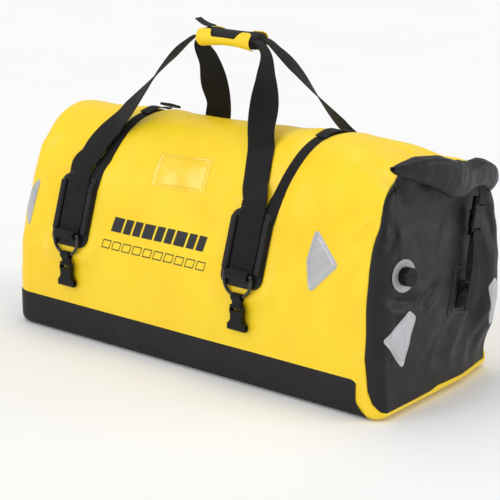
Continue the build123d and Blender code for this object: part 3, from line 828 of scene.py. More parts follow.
@dataclass
class EndForm:
    """The outside of the roll end: from the seam round onto a bulging wall, and in to the mouth."""

    tube: TubeForm
    ball_radius: float = 0.800
    furthest_x: float = 0.428
    bulge_z: float = 0.180
    mouth_x: float = 0.4165
    mouth_half_width: float = 0.108
    mouth_half_height: float = 0.009
    turn_rows: int = 12
    wall_rows: int = 52
    valve: tuple[float, float] = (-0.117, 0.231)
    points: np.ndarray = field(init=False)

    def __post_init__(self) -> None:
        """Work out the table, one column for each column of the tube."""
        seam = self.tube.points[-1]
        outline = seam[:, 1:]
        tangent = tangents(outline, closed=True)
        inward = np.stack([tangent[:, 1], -tangent[:, 0]], axis=1)
        height = outline[:, 1]
        radius = 0.034 - 0.021 * smooth(0.27, 0.36, height) - 0.017 * smooth(0.16, 0.03, height)
        edge = outline + inward * radius[:, None]
        edge = soften(edge, 14)
        turn = 2 * math.pi * np.arange(self.tube.columns) / self.tube.columns
        shoulder = 2.62
        turn = np.interp(turn, [0, shoulder, math.pi, 2 * math.pi - shoulder, 2 * math.pi],
                         np.arange(5) * math.pi / 2)
        mouth_y = -self.mouth_half_width * np.sin(turn)
        mouth_z = roll_height(mouth_y) - 0.004 - self.mouth_half_height * np.cos(turn)
        mouth = np.stack([mouth_y, mouth_z], axis=1)
        edge_x = self.wall_x(edge[:, 0], edge[:, 1])
        rows = []
        for k in range(self.turn_rows + 1):
            q = math.pi / 2 * k / self.turn_rows
            flat = outline + (edge - outline) * (1 - math.cos(q))
            x = seam[:, 0] + (edge_x - seam[:, 0]) * math.sin(q)
            rows.append(np.column_stack([x, flat]))
        for k in range(1, self.wall_rows + 1):
            q = (k / self.wall_rows) ** 0.92
            flat = edge + (mouth - edge) * q
            near = float(smooth(0.70, 1.0, q))
            x = self.wall_x(flat[:, 0], flat[:, 1]) * (1 - near) + self.mouth_x * near
            rows.append(np.column_stack([x, flat]))
        self.points = self.displaced(np.array(rows))

    def wall_x(self, y: np.ndarray, z: np.ndarray) -> np.ndarray:
        """Place of the end wall's middle surface along the bag."""
        ball = self.furthest_x - self.ball_radius + np.sqrt(
            self.ball_radius ** 2 - y ** 2 - (z - self.bulge_z) ** 2)
        foot = smooth(0.175, 0.015, z)
        lean = 0.385 + np.interp(z, [0, 0.24, 0.29, 0.333, 0.36, 0.40], [0, 0, 0.005, 0.012, 0.009, 0.002])
        foot_x = 0.4190 - 0.014 * smooth(0.050, 0.165, y)
        full = 0.0165 * smooth(0.088, 0.130, y) * smooth(0.030, 0.100, z) * smooth(0.385, 0.345, z)
        return np.maximum(ball * (1 - foot) + foot_x * foot, lean + 0.008) + full

    def displaced(self, table: np.ndarray) -> np.ndarray:
        """Add the end wall's folds and creases; the cloth stays flat round the valve."""
        x, y, z = table[..., 0], table[..., 1], table[..., 2]
        rim = np.arange(table.shape[0])[:, None] / self.turn_rows
        calm = smooth(0.027, 0.044, np.hypot(y - self.valve[0], z - self.valve[1]))
        inner = smooth(0.0, 1.2, np.broadcast_to(rim, x.shape))
        low = smooth(0.0, 0.05, z)
        push = 0.0016 * Ripples(41, 0.08, 0.25)(y, z) + 0.0008 * Ripples(43, 0.03, 0.07)(y, z)
        push = push + creases(y, z, ROLL_END_CREASES)
        hem = smooth(1.0, 0.86, (np.arange(table.shape[0])[:, None] - self.turn_rows) / self.wall_rows)
        out = table + sheet_normals(table) * (push * calm * inner * low * np.clip(hem, 0, 1))[..., None]
        out[..., 2] = np.maximum(out[..., 2], self.tube.base_gap)
        return out


def rounded(corners: Sequence[tuple[float, float]], radius: float, count: int = 96) -> np.ndarray:
    """Outline of a polygon with rounded corners.

    Args:
        corners: The polygon's corners in order.
        radius: Rounding of each.
        count: How many points come back.

    Returns:
        Points at equal distances.
    """
    p = np.asarray(corners, float)
    out = []
    for k in range(len(p)):
        before, here, after = p[k - 1], p[k], p[(k + 1) % len(p)]
        a, b = unit(before - here), unit(after - here)
        half = 0.5 * math.acos(float(np.clip(a @ b, -1, 1)))
        shorter = min(np.linalg.norm(before - here), np.linalg.norm(after - here))
        cut = min(radius / math.tan(half), 0.45 * shorter)
        start, end = here + a * cut, here + b * cut
        for t in np.linspace(0, 1, 9):
            out.append((1 - t) ** 2 * start + 2 * t * (1 - t) * here + t ** 2 * end)
    return resample(np.array(out), count, closed=True)


class Projection(Enum):
    """Direction from which a flat patch is laid on the bag."""

    FRONT = "front"
    REAR = "rear"
    ROLL_END = "roll_end"
    CLOSED_END = "closed_end"

    def cast(self, flat: np.ndarray) -> tuple[np.ndarray, np.ndarray]:
        """Line starts and directions for flat (along, up) points.

        Args:
            flat: Points in the plane of the view.

        Returns:
            Origins and directions.
        """
        n = len(flat)
        if self in (Projection.FRONT, Projection.REAR):
            s = -1.0 if self is Projection.FRONT else 1.0
            origin = np.column_stack([flat[:, 0], np.full(n, 0.4 * s), flat[:, 1]])
            return origin, np.tile([0.0, -s, 0.0], (n, 1))
        s = 1.0 if self is Projection.ROLL_END else -1.0
        origin = np.column_stack([np.full(n, 0.7 * s), flat[:, 0], flat[:, 1]])
        return origin, np.tile([-s, 0.0, 0.0], (n, 1))


@dataclass
class Patch:
    """A welded-on patch: a raised sheet with a pressed weld line just inside its edge."""

    name: str
    corners: Sequence[tuple[float, float]]
    projection: Projection
    radius: float
    thickness: float = 0.0011
    weld: float = 0.0045
    rings: int = 9

    def build(self, skin: Skin) -> bpy.types.Object:
        """Lay the patch on a surface.

        Args:
            skin: What it is welded to.

        Returns:
            The piece.
        """
        outline = rounded(self.corners, self.radius)
        centre = outline.mean(axis=0)
        reach = float(np.linalg.norm(outline - centre, axis=1).mean())
        lifts = [(0.0, -0.0004), (0.0002, self.thickness * 0.8), (0.0007, self.thickness),
                 (self.weld - 0.001, self.thickness), (self.weld - 0.0003, self.thickness * 0.45),
                 (self.weld + 0.0009, self.thickness * 0.45), (self.weld + 0.0017, self.thickness * 1.15)]
        shares = [d / reach for d, _ in lifts]
        heights = [h for _, h in lifts]
        for t in np.linspace(shares[-1], 1.0, self.rings + 1)[1:]:
            shares.append(float(t))
            heights.append(self.thickness * (1.15 + 0.25 * min(1.0, float(t) * 2)))
        points, faces = [], []
        n = len(outline)
        for share, height in zip(shares[:-1], heights[:-1]):
            flat = outline + (centre - outline) * share
            origins, ways = self.projection.cast(flat)
            points.append(skin.lay(origins, ways, height))
        origins, ways = self.projection.cast(centre[None, :])
        points.append(skin.lay(origins, ways, heights[-1]))
        table = np.vstack(points)
        for i in range(len(shares) - 2):
            for j in range(n):
                k = (j + 1) % n
                faces.append((i * n + j, i * n + k, (i + 1) * n + k, (i + 1) * n + j))
        last = len(table) - 1
        for j in range(n):
            faces.append(((len(shares) - 2) * n + j, (len(shares) - 2) * n + (j + 1) % n, last))
        uv = table[:, [0, 2]] if self.projection in (Projection.FRONT, Projection.REAR) else table[:, [1, 2]]
        piece = new_piece(self.name, table, faces, uv)
        face_towards(piece, -self.projection.cast(centre[None, :])[1][0])
        return piece

    def size(self) -> tuple[tuple[float, float], float]:
        """Flat (width, height) of the cut and its area."""
        outline = rounded(self.corners, self.radius)
        spread = outline.max(axis=0) - outline.min(axis=0)
        x, y = outline[:, 0], outline[:, 1]
        area = 0.5 * abs(float(np.sum(x * np.roll(y, -1) - y * np.roll(x, -1))))
        return (float(spread[0]), float(spread[1])), area


# Webbing.
def ribbon(name: str, centres: np.ndarray, normals: np.ndarray, halves: np.ndarray | float,
           thickness: float, closed: bool = False) -> bpy.types.Object:
    """Flat webbing with soft edges along a line of points.

    Args:
        name: Name of the piece.
        centres: Points down its middle.
        normals: Which way its face looks at each.
        halves: Half its width at each.
        thickness: Its thickness.
        closed: True for a loop that joins its own start.

    Returns:
        The piece, with a UV map in metres: u across and v along.
    """
    n = len(centres)
    halves = np.broadcast_to(np.asarray(halves, float), (n,))
    way = tangents(centres, closed)
    across = unit(np.cross(way, normals))
    face = unit(np.cross(across, way))
    t = thickness
    profile = [(-1, 0.0, -0.22), (-1, 0.18, -0.42), (-1, 0.9, -0.5), (0, 0.0, -0.5), (1, -0.9, -0.5),
               (1, -0.18, -0.42), (1, 0.0, -0.22), (1, 0.0, 0.22), (1, -0.18, 0.42), (1, -0.9, 0.5),
               (0, 0.0, 0.5), (-1, 0.9, 0.5), (-1, 0.18, 0.42), (-1, 0.0, 0.22)]
    along = np.concatenate([[0.0], np.cumsum(np.linalg.norm(np.diff(centres, axis=0), axis=1))])
    points, uv = [], []
    for i in range(n):
        for edge, inset, height in profile:
            a = edge * halves[i] + inset * t
            points.append(centres[i] + across[i] * a + face[i] * height * t)
            uv.append((a, along[i]))
    m = len(profile)
    faces = []
    for i in range(n if closed else n - 1):
        k = (i + 1) % n
        for j in range(m):
            w = (j + 1) % m
            faces.append((i * m + j, i * m + w, k * m + w, k * m + j))
    if not closed:
        faces.append(tuple(range(m))[::-1])
        faces.append(tuple(range((n - 1) * m, n * m)))
    piece = new_piece(name, np.array(points), faces, np.array(uv))
    face_outwards(piece)
    return piece


def smoothed_rows(table: np.ndarray, count: int) -> np.ndarray:
    """Many rows at equal distances out of a few, each column on its own smooth curve.

    Args:
        table: One row a station; the first three columns are its place.
        count: How many rows come back.

    Returns:
        The rows.
    """
    steps = np.linalg.norm(np.diff(table[:, :3], axis=0), axis=1)
    along = np.concatenate([[0.0], np.cumsum(steps)])
    slopes = np.gradient(table, along, axis=0)
    wanted = np.linspace(0, along[-1], count)
    index = np.clip(np.searchsorted(along, wanted, side="right") - 1, 0, len(along) - 2)
    gap = (along[index + 1] - along[index])[:, None]
    t = (wanted - along[index])[:, None] / gap
    a, b = table[index], table[index + 1]
    ma, mb = slopes[index] * gap, slopes[index + 1] * gap
    return ((2 * t ** 3 - 3 * t ** 2 + 1) * a + (t ** 3 - 2 * t ** 2 + t) * ma
            + (-2 * t ** 3 + 3 * t ** 2) * b + (t ** 3 - t ** 2) * mb)


def spread(stations: Sequence[tuple], count: int) -> tuple[np.ndarray, np.ndarray, np.ndarray]:
    """Smooth many webbing stations out of a few of (point, normal, half width).

    Args:
        stations: The given stations.
        count: How many come back.

    Returns:
        Centres, normals and half widths.
    """
    rows = smoothed_rows(np.array([list(p) + list(n) + [h] for p, n, h in stations], float), count)
    return rows[:, :3], unit(rows[:, 3:6]), rows[:, 6]


def stitches(name: str, lines: Sequence[tuple[np.ndarray, np.ndarray]], normal: np.ndarray,
             pitch: float = 0.0034, radius: float = 0.00042) -> bpy.types.Object:
    """Rows of raised thread stitches.

    Args:
        name: Name of the piece.
        lines: Start and end of each row.
        normal: Which way the webbing's face looks there.
        pitch: Distance from stitch to stitch.
        radius: Thickness of the thread.

    Returns:
        The piece, a few dozen faces a stitch row.
    """
    points, faces = [], []
    for start, end in lines:
        start, end = np.asarray(start, float), np.asarray(end, float)
        length = float(np.linalg.norm(end - start))
        way = (end - start) / length
        side = np.cross(way, normal)
        for k in range(int(length / pitch)):
            middle = start + way * (k + 0.5) * pitch
            base = len(points)
            for at, size, rise in ((-0.42, 0.35, -0.3), (-0.25, 1.0, 0.5), (0.25, 1.0, 0.5),
                                   (0.42, 0.35, -0.3)):
                for turn in range(5):
                    q = 2 * math.pi * turn / 5
                    points.append(middle + way * at * pitch + side * radius * size * math.cos(q)
                                  + normal * radius * (rise + size * math.sin(q)))
            for ring in range(3):
                for turn in range(5):
                    nxt = (turn + 1) % 5
                    faces.append((base + ring * 5 + turn, base + ring * 5 + nxt,
                                  base + ring * 5 + 5 + nxt, base + ring * 5 + 5 + turn))
            faces.append(tuple(base + t for t in (4, 3, 2, 1, 0)))
            faces.append(tuple(base + 15 + t for t in range(5)))
    piece = new_piece(name, np.array(points), faces)
    face_outwards(piece)
    return piece


# Finishes by name.
class Finishes:
    """Every material of the bag, made once."""

    def __init__(self) -> None:
        """Build the materials."""
        self.yellow = Tarpaulin("yellow_coated_tarpaulin", "#FFDC1C", "#FDD212", 0.38, crease=0.16,
                                specular=0.5).material()
        self.black = Tarpaulin("black_coated_tarpaulin", "#1D1C1D", "#171617", 0.46, crease=0.34,
                               scrim_depth=0.08).material()
        self.base = Tarpaulin("heavy_matt_base_tarpaulin", "#1F1C21", "#19171B", 0.62, crease=0.12,
                              scrim_depth=0.16, scrim_pitch_mm=3.2).material()
        self.webbing = WovenWebbing("woven_polyester_webbing", "#0B0A0A", "#1D1B1B", 50).material()
        self.thread = Moulded("bonded_polyester_thread", "#1B1B1C", "#2B2A2B", 0.6, grain_mm=0.4).material()
        self.pad = Moulded("moulded_rubber_pad", "#141216", "#1B191D", 0.38, specular=0.28).material()
        self.acetal = Moulded("moulded_black_acetal", "#0A0A0B", "#111112", 0.34, grain_depth=0.08,
                              specular=0.22).material()
        self.steel = Moulded("black_coated_steel_ring", "#131314", "#1C1C1E", 0.26, grain_depth=0.04,
                             coat=0.3).material()
        self.film = ReflectiveFilm().material()
        self.flange = Moulded("moulded_grey_vinyl_flange", "#A3A5A6", "#B0B2B3", 0.42).material()
        self.rubber = Moulded("moulded_black_seal_rubber", "#161616", "#1E1E1E", 0.55).material()
        self.stiffener = Moulded("extruded_grey_stiffener", "#4A4A4B", "#555556", 0.5).material()
        self.hook = Moulded("hook_and_loop_tape", "#151515", "#242424", 0.9, grain_mm=0.9,
                            grain_depth=0.9).material()
        self.clear = self.clear_vinyl()
        self.print_ink = Moulded("screen_printed_black_ink", "#1B1A1A", "#232222", 0.5,
                                 grain_depth=0.05).material()

    def clear_vinyl(self) -> bpy.types.Material:
        """Clear vinyl of the card window: the yellow shows through, with its own brighter gloss."""
        material, tree, shader = start_material("clear_vinyl_window", Roughness=0.2, Coat_Weight=0.6,
                                                Coat_Roughness=0.08)
        place = add_node(tree, "ShaderNodeTexCoord").outputs["Object"]
        haze = add_node(tree, "ShaderNodeTexNoise", links={"Vector": place},
                        values={"Scale": 30.0, "Detail": 3.0})
        tone = ramp(tree, haze.outputs["Fac"], [(0.35, linear("#FCD21E")), (0.65, linear("#FFDC3C"))])
        tree.links.new(tone, shader.inputs["Base Color"])
        bump = add_node(tree, "ShaderNodeBump", links={"Height": haze.outputs["Fac"]},
                        values={"Strength": 0.2, "Distance": 0.002})
        tree.links.new(bump.outputs["Normal"], shader.inputs["Normal"])
        return material


def finish(piece: bpy.types.Object, material: bpy.types.Material, slot: str, body: str,
           *nodes: str) -> bpy.types.Object:
    """Dress a piece, hide the plain solids it stands for and attach it to its body.

    Args:
        piece: The piece.
        material: Its finish.
        slot: The record's material slot; not used.
        body: The body it moves with, or nothing to leave it unattached.
        nodes: The plain solids it stands for.

    Returns:
        The piece.
    """
    set_finish(piece, material)
    if nodes:
        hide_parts(*nodes)
    if body:
        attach(piece, body)
    return piece


def weld_patch(patch: Patch, skin: Skin, material: bpy.types.Material, slot: str,
               node: str) -> bpy.types.Object:
    """Args:
        patch: The patch.
        skin: What it is welded to.
        material: Its finish.
        slot: The record's material slot.
        node: The plain solid it stands for.

    Returns:
        The piece.
    """
    piece = finish(patch.build(skin), material, slot, "bag", node)
    return piece


# Reflective blocks: name, node, where it is laid from, rounding and corners in mm.
REFLECTORS = (
    ("side_reflector_front_roll", "side_reflectors_front", Projection.FRONT, 8,
     ((264, 286), (324, 238), (268, 182), (255, 232))),
    ("side_reflector_front_closed", "side_reflectors_front", Projection.FRONT, 7,
     ((-362, 276), (-402, 226), (-374, 174))),
    ("side_reflector_rear_roll", "side_reflectors_rear", Projection.REAR, 8,
     ((318, 281), (375, 238), (327, 186))),
    ("side_reflector_rear_closed", "side_reflectors_rear", Projection.REAR, 7,
     ((-368, 268), (-400, 222), (-372, 182))),
    ("end_reflector_front", "roll_end_reflectors", Projection.ROLL_END, 8,
     ((-106, 174), (-158, 133), (-112, 74), (-89, 160))),
    ("end_reflector_rear", "roll_end_reflectors", Projection.ROLL_END, 8,
     ((130, 176), (157, 135), (140, 72), (117, 160))),
    ("closed_reflector_front", "closed_end_reflectors", Projection.CLOSED_END, 7,
     ((-50, 168), (-96, 134), (-72, 84), (-40, 150))),
    ("closed_reflector_rear", "closed_end_reflectors", Projection.CLOSED_END, 7,
     ((50, 168), (96, 134), (72, 84), (40, 150))),
)


def slanted_row(start: float, low: float, high: float, lean: float, widths: Sequence[float],
                gap: float) -> list[list[tuple[float, float]]]:
    """Corners, in mm, of a row of slanted blocks of the given widths.

    Args:
        start: Where the first block begins.
        low: Height of the blocks' feet.
        high: Height of their tops.
        lean: How far the tops are shifted.
        widths: Width of each block.
        gap: Space between two blocks.

    Returns:
        Four corners for each block.
    """
    row, x = [], start
    for wide in widths:
        row.append([(x, low), (x + wide, low), (x + wide + lean, high), (x + lean, high)])
        x += wide + gap
    return row


# Sub-assemblies.
@dataclass
class BagBody:
    """The welded tube, its closed end, base cover, roll end, foot band and everything welded on."""

    finishes: Finishes
    wall: float = 0.0020
    cover_height: float = 0.062
    cover_end_x: float = 0.3715
    cover_corner: float = 0.016
    tube: TubeForm = field(init=False)
    end: EndForm = field(init=False)
    pieces: list[bpy.types.Object] = field(default_factory=list)

    def __post_init__(self) -> None:
        """Work out the forms and the surfaces others lie on."""
        self.tube = TubeForm()
        self.end = EndForm(self.tube)
        self.tube_skin = Skin(self.tube.points.reshape(-1, 3), self.tube.faces())
        self.end_faces = grid_faces(*self.end.points.shape[:2], wrap=True)
        self.end_skin = Skin(self.end.points.reshape(-1, 3), self.end_faces)

    def build_tube(self) -> None:
        """The yellow tube with its rounded closed end."""
        piece = new_piece("tube_tarpaulin", self.tube.points.reshape(-1, 3), self.tube.faces(),
                          self.tube.distances().reshape(-1, 2))
        thicken(piece, self.wall)
        finish(piece, self.finishes.yellow, "yellow_tarpaulin", "bag", "main_shell")
        self.pieces.append(piece)

    def build_roll_end(self) -> None:
        """The black end wall that bulges out and runs in to the mouth."""
        piece = new_piece("roll_end_tarpaulin", self.end.points.reshape(-1, 3), self.end_faces)
        thicken(piece, self.wall)
        finish(piece, self.finishes.black, "black_tarpaulin", "bag", "roll_end_panel")
        self.pieces.append(piece)

    def build_closed_end(self) -> None:
        """The closed end's panel: a guess, a crowned black sheet welded inside the rounding."""
        outline = self.tube.ring(self.tube.closed_x, 0.0455)
        outline[:, 1] = np.maximum(outline[:, 1], 0.018)
        outline = soften(resample(outline, 200, closed=True), 6)
        centre = np.array([0.0, 0.185])
        waves = Ripples(61, 0.07, 0.2)
        rings = []
        shares = [0.0, 0.0015, 0.006, 0.035, 0.042, 0.052, 0.060] + list(np.linspace(0.09, 0.985, 30))
        lifts = [-0.0002, 0.0018, 0.0022, 0.0022, 0.0016, 0.0016, 0.0023] + [0.0024] * 30
        for share, lift in zip(shares, lifts):
            flat = outline + (centre - outline) * share
            crown = 0.0135 * (1 - (1 - share) ** 2.2)
            crown += 0.0010 * waves(flat[:, 0], flat[:, 1]) * smooth(0.05, 0.25, share)
            rings.append(np.column_stack([self.tube.closed_x - lift - crown, flat]))
        table = np.array(rings)
        n = table.shape[1]
        tip = table[-1].mean(axis=0)[None, :]
        faces = grid_faces(len(rings), n, True)
        last = len(rings) * n
        faces += [((len(rings) - 1) * n + (j + 1) % n, (len(rings) - 1) * n + j, last) for j in range(n)]
        piece = new_piece("closed_end_panel_tarpaulin", np.vstack([table.reshape(-1, 3), tip]), faces)
        face_towards(piece, (-1, 0, 0))
        finish(piece, self.finishes.black, "black_tarpaulin", "bag", "closed_end_panel")
        self.pieces.append(piece)
        self.closed_skin = Skin(np.vstack([table.reshape(-1, 3), tip]), faces)

    def cover_table(self) -> np.ndarray:
        """Points of the base cover: rows along the bag, columns from the front edge under to the rear."""
        table = self.tube.points
        normals = self.tube.normals
        keep = [i for i in range(2, len(table)) if self.tube.row_x[i] <= self.cover_end_x]
        rows = []
        half = self.tube.columns // 2
        for i in keep:
            ring = np.vstack([table[i][half:], table[i][:half]])     # top, down the rear, base, up the front
            normal = np.vstack([normals[i][half:], normals[i][:half]])
            z = ring[:, 2]
            to_end = self.cover_end_x - self.tube.row_x[i]
            height = self.cover_height
            if to_end < self.cover_corner:
                height -= self.cover_corner - math.sqrt(max(0.0, self.cover_corner ** 2
                                                            - (self.cover_corner - to_end) ** 2))
            low = int(np.argmin(z))
            base = np.flatnonzero(z < self.cover_height + 0.02)
            start, stop = base[0] - 1, base[-1] + 1
            lead = np.arange(start, low)
            trail = np.arange(low, stop + 1)
            a = float(np.interp(height, z[lead][::-1], lead[::-1]))
            b = float(np.interp(height, z[trail[z[trail] >= 0.004]], trail[z[trail] >= 0.004]))
            wanted = np.linspace(a, b, 120)
            row = between(ring, wanted)
            up = unit(between(normal, wanted))
            lift = np.full(120, 0.0015)
            lift[0] = lift[-1] = -0.0002
            if to_end < 0.0005:
                lift[:] = -0.0002
            placed = row + up * lift[:, None]
            placed[:, 2] = np.maximum(placed[:, 2], 0.0)
            placed[:, 0] += 0.021 * smooth(0.030, 0.0, placed[:, 2]) * float(smooth(0.03, 0.0, to_end))
            rows.append(placed)
        return np.array(rows)

    def build_base_cover(self) -> None:
        """The black wear panel under the bag, up 62 mm at both sides, with rounded ends."""
        table = self.cover_table()
        piece = new_piece("base_cover_tarpaulin", table.reshape(-1, 3),
                          grid_faces(table.shape[0], table.shape[1]), table.reshape(-1, 3)[:, [0, 1]])
        face_towards(piece, (0, 0, -1), below=0.004)
        finish(piece, self.finishes.base, "base_tarpaulin", "bag", "base_cover")
        self.pieces.append(piece)

    def build_foot_band(self) -> None:
        """The yellow band along the foot of the roll end, sweeping up at both corners to the tube."""
        columns, rows, centre_x = 420, 9, 0.350
        table = np.zeros((rows + 2, columns, 3))
        for j, share in enumerate(np.linspace(-1, 1, columns)):
            turn = share * math.radians(79.5)
            inward = -np.array([math.cos(turn), math.sin(turn), 0.0])
            start = np.array([centre_x, 0.0, 0.0]) - inward * 0.4
            foot = self.end_or_tube(start + [0, 0, 0.010], inward, 0.0)
            rise = float(np.interp(foot[1], [-0.13, -0.07, -0.03, -0.01, 0.01, 0.06],
                                   [0.0135, 0.0145, 0.0155, 0.0200, 0.0185, 0.0170]))
            if abs(foot[1]) > 0.150:
                rise = float(np.interp(foot[0], [0.385, 0.389, 0.398, 0.410, 0.417],
                                       [0.10, 0.049, 0.028, 0.0165, rise]))
            for i in range(rows):
                z = 0.0012 + (rise - 0.0012) * i / (rows - 1)
                lift = self.wall + (0.0012 if i < rows - 1 else 0.0009)
                table[i + 1, j] = self.end_or_tube(start + [0, 0, z], inward, lift)
            table[0, j] = table[1, j] + [0, 0, -0.0008]
            table[rows + 1, j] = self.end_or_tube(start + [0, 0, rise + 0.0006], inward, -0.0003)
        table[..., 2] = np.maximum(table[..., 2], 0.0004)
        piece = new_piece("foot_band_tarpaulin", table.reshape(-1, 3), grid_faces(rows + 2, columns))
        face_towards(piece, (1, 0, 0))
        finish(piece, self.finishes.yellow, "yellow_tarpaulin", "bag", "end_foot_band")
        self.pieces.append(piece)

    def end_or_tube(self, start: np.ndarray, way: np.ndarray, lift: float) -> np.ndarray:
        """The first surface a line meets, roll end or tube, lifted off it."""
        best, found = None, 1e9
        for skin in (self.end_skin, self.tube_skin):
            place, normal, _, distance = skin.tree.ray_cast(Vector(start), Vector(way))
            if place is not None and distance < found:
                found = distance
                if normal.dot(Vector(way)) > 0:
                    normal = -normal
                best = np.array(place + normal * lift)
        if best is None:
            best = np.array(self.end_skin.tree.find_nearest(Vector(start) + Vector(way) * 0.3)[0])
        return best

    def build_patches(self) -> None:
        """Reflective blocks, the card window and the printed stripe."""
        skins = {Projection.FRONT: self.tube_skin, Projection.REAR: self.tube_skin,
                 Projection.ROLL_END: self.end_skin, Projection.CLOSED_END: self.closed_skin}
        for name, node, projection, radius, corners in REFLECTORS:
            patch = Patch(name, [(a * MM, b * MM) for a, b in corners], projection, radius * MM)
            self.pieces.append(weld_patch(patch, skins[projection], self.finishes.film, "reflective_film", node))
        window = Patch("card_window_vinyl", [(a * MM, b * MM) for a, b in
                                             ((-106, 346), (12, 350), (14, 297), (-104, 293))],
                       Projection.FRONT, 4 * MM, thickness=0.0009, weld=0.006)
        self.pieces.append(weld_patch(window, self.tube_skin, self.finishes.clear, "clear_film", "card_window"))
        self.build_print()

    def build_print(self) -> None:
        """A plain printed stripe of slanted blocks over a row of outlined ones, with no lettering."""
        blocks = slanted_row(-172.0, 207, 232, 6, [17.0 if k % 3 else 24.0 for k in range(9)], 4.5)
        thin = slanted_row(-190.0, 176, 191, 4, [19.0] * 10, 5.0)
        points, faces = [], []

        def add(shape: np.ndarray) -> None:
            """Lay one quad of ink as a small grid."""
            grid = []
            for v in np.linspace(0, 1, 6):
                for u in np.linspace(0, 1, 6):
                    low = shape[0] * (1 - u) + shape[1] * u
                    high = shape[3] * (1 - u) + shape[2] * u
                    grid.append(low * (1 - v) + high * v)
            flat = np.array(grid) * MM
            origins, ways = Projection.FRONT.cast(flat)
            base = len(points)
            points.extend(self.tube_skin.lay(origins, ways, 0.00035))
            for i in range(5):
                for j in range(5):
                    a = base + i * 6 + j
                    faces.append((a, a + 1, a + 7, a + 6))

        for block in blocks:
            add(np.array(block, float))
        for block in thin:
            shape = np.array(block, float)
            centre = shape.mean(axis=0)
            inner = centre + (shape - centre) * [0.86, 0.78]
            for k in range(4):
                n = (k + 1) % 4
                add(np.array([shape[k], shape[n], inner[n], inner[k]]))
        piece = new_piece("printed_stripe", np.array(points), faces)
        face_towards(piece, (0, -1, 0))
        finish(piece, self.finishes.print_ink, "black_tarpaulin", "bag")
        self.pieces.append(piece)

    def build(self) -> list[bpy.types.Object]:
        """Build every piece of the body."""
        self.build_tube()
        self.build_roll_end()
        self.build_closed_end()
        self.build_base_cover()
        self.build_foot_band()
        self.build_patches()
        return self.pieces


@dataclass
class RolledMouth:
    """The mouth rolled down three turns round its stiffener, and the collar that leads into it."""

    finishes: Finishes
    end: EndForm
    turns: float = 2.7
    thickness: float = 0.0016
    sections: int = 110
    spiral_points: int = 84
    pieces: list[bpy.types.Object] = field(default_factory=list)

    def stations(self, count: int) -> tuple[np.ndarray, np.ndarray]:
        """Smooth centres and (half depth, half height) along the roll."""
        rows = smoothed_rows(np.array(ROLL_STATIONS, float) * MM, count)
        return rows[:, :3], rows[:, 3:]

    def build_roll(self) -> None:
        """The rolled sheet: a spiral swept along the mouth, flattened and pinched at both ends."""
        centres, halves = self.stations(self.sections)
        waves = Ripples(71, 0.03, 0.12)
        fine = Ripples(73, 0.012, 0.03)
        share = np.linspace(0, 1, self.sections)
        rows = []
        turn = np.linspace(0, self.turns * 2 * math.pi, self.spiral_points)
        for i in range(self.sections):
            pinch = float(smooth(0.12, 0.0, share[i]) + smooth(0.88, 1.0, share[i]))
            shrink = 1.0 - (0.70 - 0.25 * pinch) * (turn / turn[-1]) ** 0.9
            angle = math.radians(215) - turn
            lip = np.degrees(np.mod(angle, 2 * math.pi))
            sag = 1.0 + 0.04 * np.sin(angle * 2 + 6 * share[i]) + (0.24 * bell(lip, 38.0, 17.0)
                                                                  - 0.10 * bell(lip, 318.0, 26.0)) * (1 - pinch)
            fold = (0.0012 * waves(np.full_like(turn, centres[i, 1]), turn * 0.02)
                    + 0.0005 * fine(np.full_like(turn, centres[i, 1]), turn * 0.02))
            wide = (halves[i, 0] * shrink + fold) * sag
            tall = (halves[i, 1] * shrink + fold) * sag
            under = (0.20 - 0.30 * float(smooth(-0.01, 0.035, centres[i, 1]))
                     + 0.10 * float(smooth(0.08, 0.11, centres[i, 1])))
            flat = 1.0 + under * smooth(0.3, 1.0, -np.sin(angle))
            x = centres[i, 0] + wide * np.cos(angle)
            z = centres[i, 2] + tall * np.sin(angle) * flat
            y = centres[i, 1] + 0.006 * pinch * np.sin(angle * 0.5)
            rows.append(np.column_stack([x, y, z]))
        table = np.array(rows)
        piece = new_piece("rolled_mouth_tarpaulin", table.reshape(-1, 3),
                          grid_faces(self.sections, self.spiral_points))
        middle = table[self.sections // 2].mean(axis=0)
        outer = piece.data.polygons[(self.sections // 2) * (self.spiral_points - 1) + 3]
        if outer.normal.dot(outer.center - Vector(middle)) < 0:
            piece.data.flip_normals()
        thicken(piece, self.thickness)
        finish(piece, self.finishes.black, "black_tarpaulin", "roll", "rolled_mouth", "mouth_stiffener")
        self.pieces.append(piece)

    def build_collar(self) -> None:
        """The sheet between the mouth's edge and the roll; it is attached to no body."""
        start = self.end.points[-1]
        rows = []
        count = 12
        middle = roll_height(start[:, 1])
        for i in range(count):
            t = i / (count - 1)
            z = start[:, 2] * (1 - t) + (middle + (start[:, 2] - middle) * 0.5) * t
            x = start[:, 0] * (1 - t) + 0.4315 * t
            rows.append(np.column_stack([x, start[:, 1], z]))
        table = np.array(rows)
        piece = new_piece("mouth_collar_tarpaulin", table.reshape(-1, 3),
                          grid_faces(count, table.shape[1], wrap=True))
        finish(piece, self.finishes.black, "black_tarpaulin", "")
        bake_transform(piece)
        self.pieces.append(piece)

    def build(self) -> list[bpy.types.Object]:
        """Build the roll and its collar."""
        self.build_roll()
        self.build_collar()
        return self.pieces


CLOSURE_ORIGIN = np.array([0.435, 0.042, 0.180])
CLOSURE_LEAN = math.radians(12.0)
CLOSURE_UP = np.array([0.0, math.sin(CLOSURE_LEAN), math.cos(CLOSURE_LEAN)])
CLOSURE_ACROSS = np.array([0.0, math.cos(CLOSURE_LEAN), -math.sin(CLOSURE_LEAN)])
OUT = np.array([1.0, 0.0, 0.0])
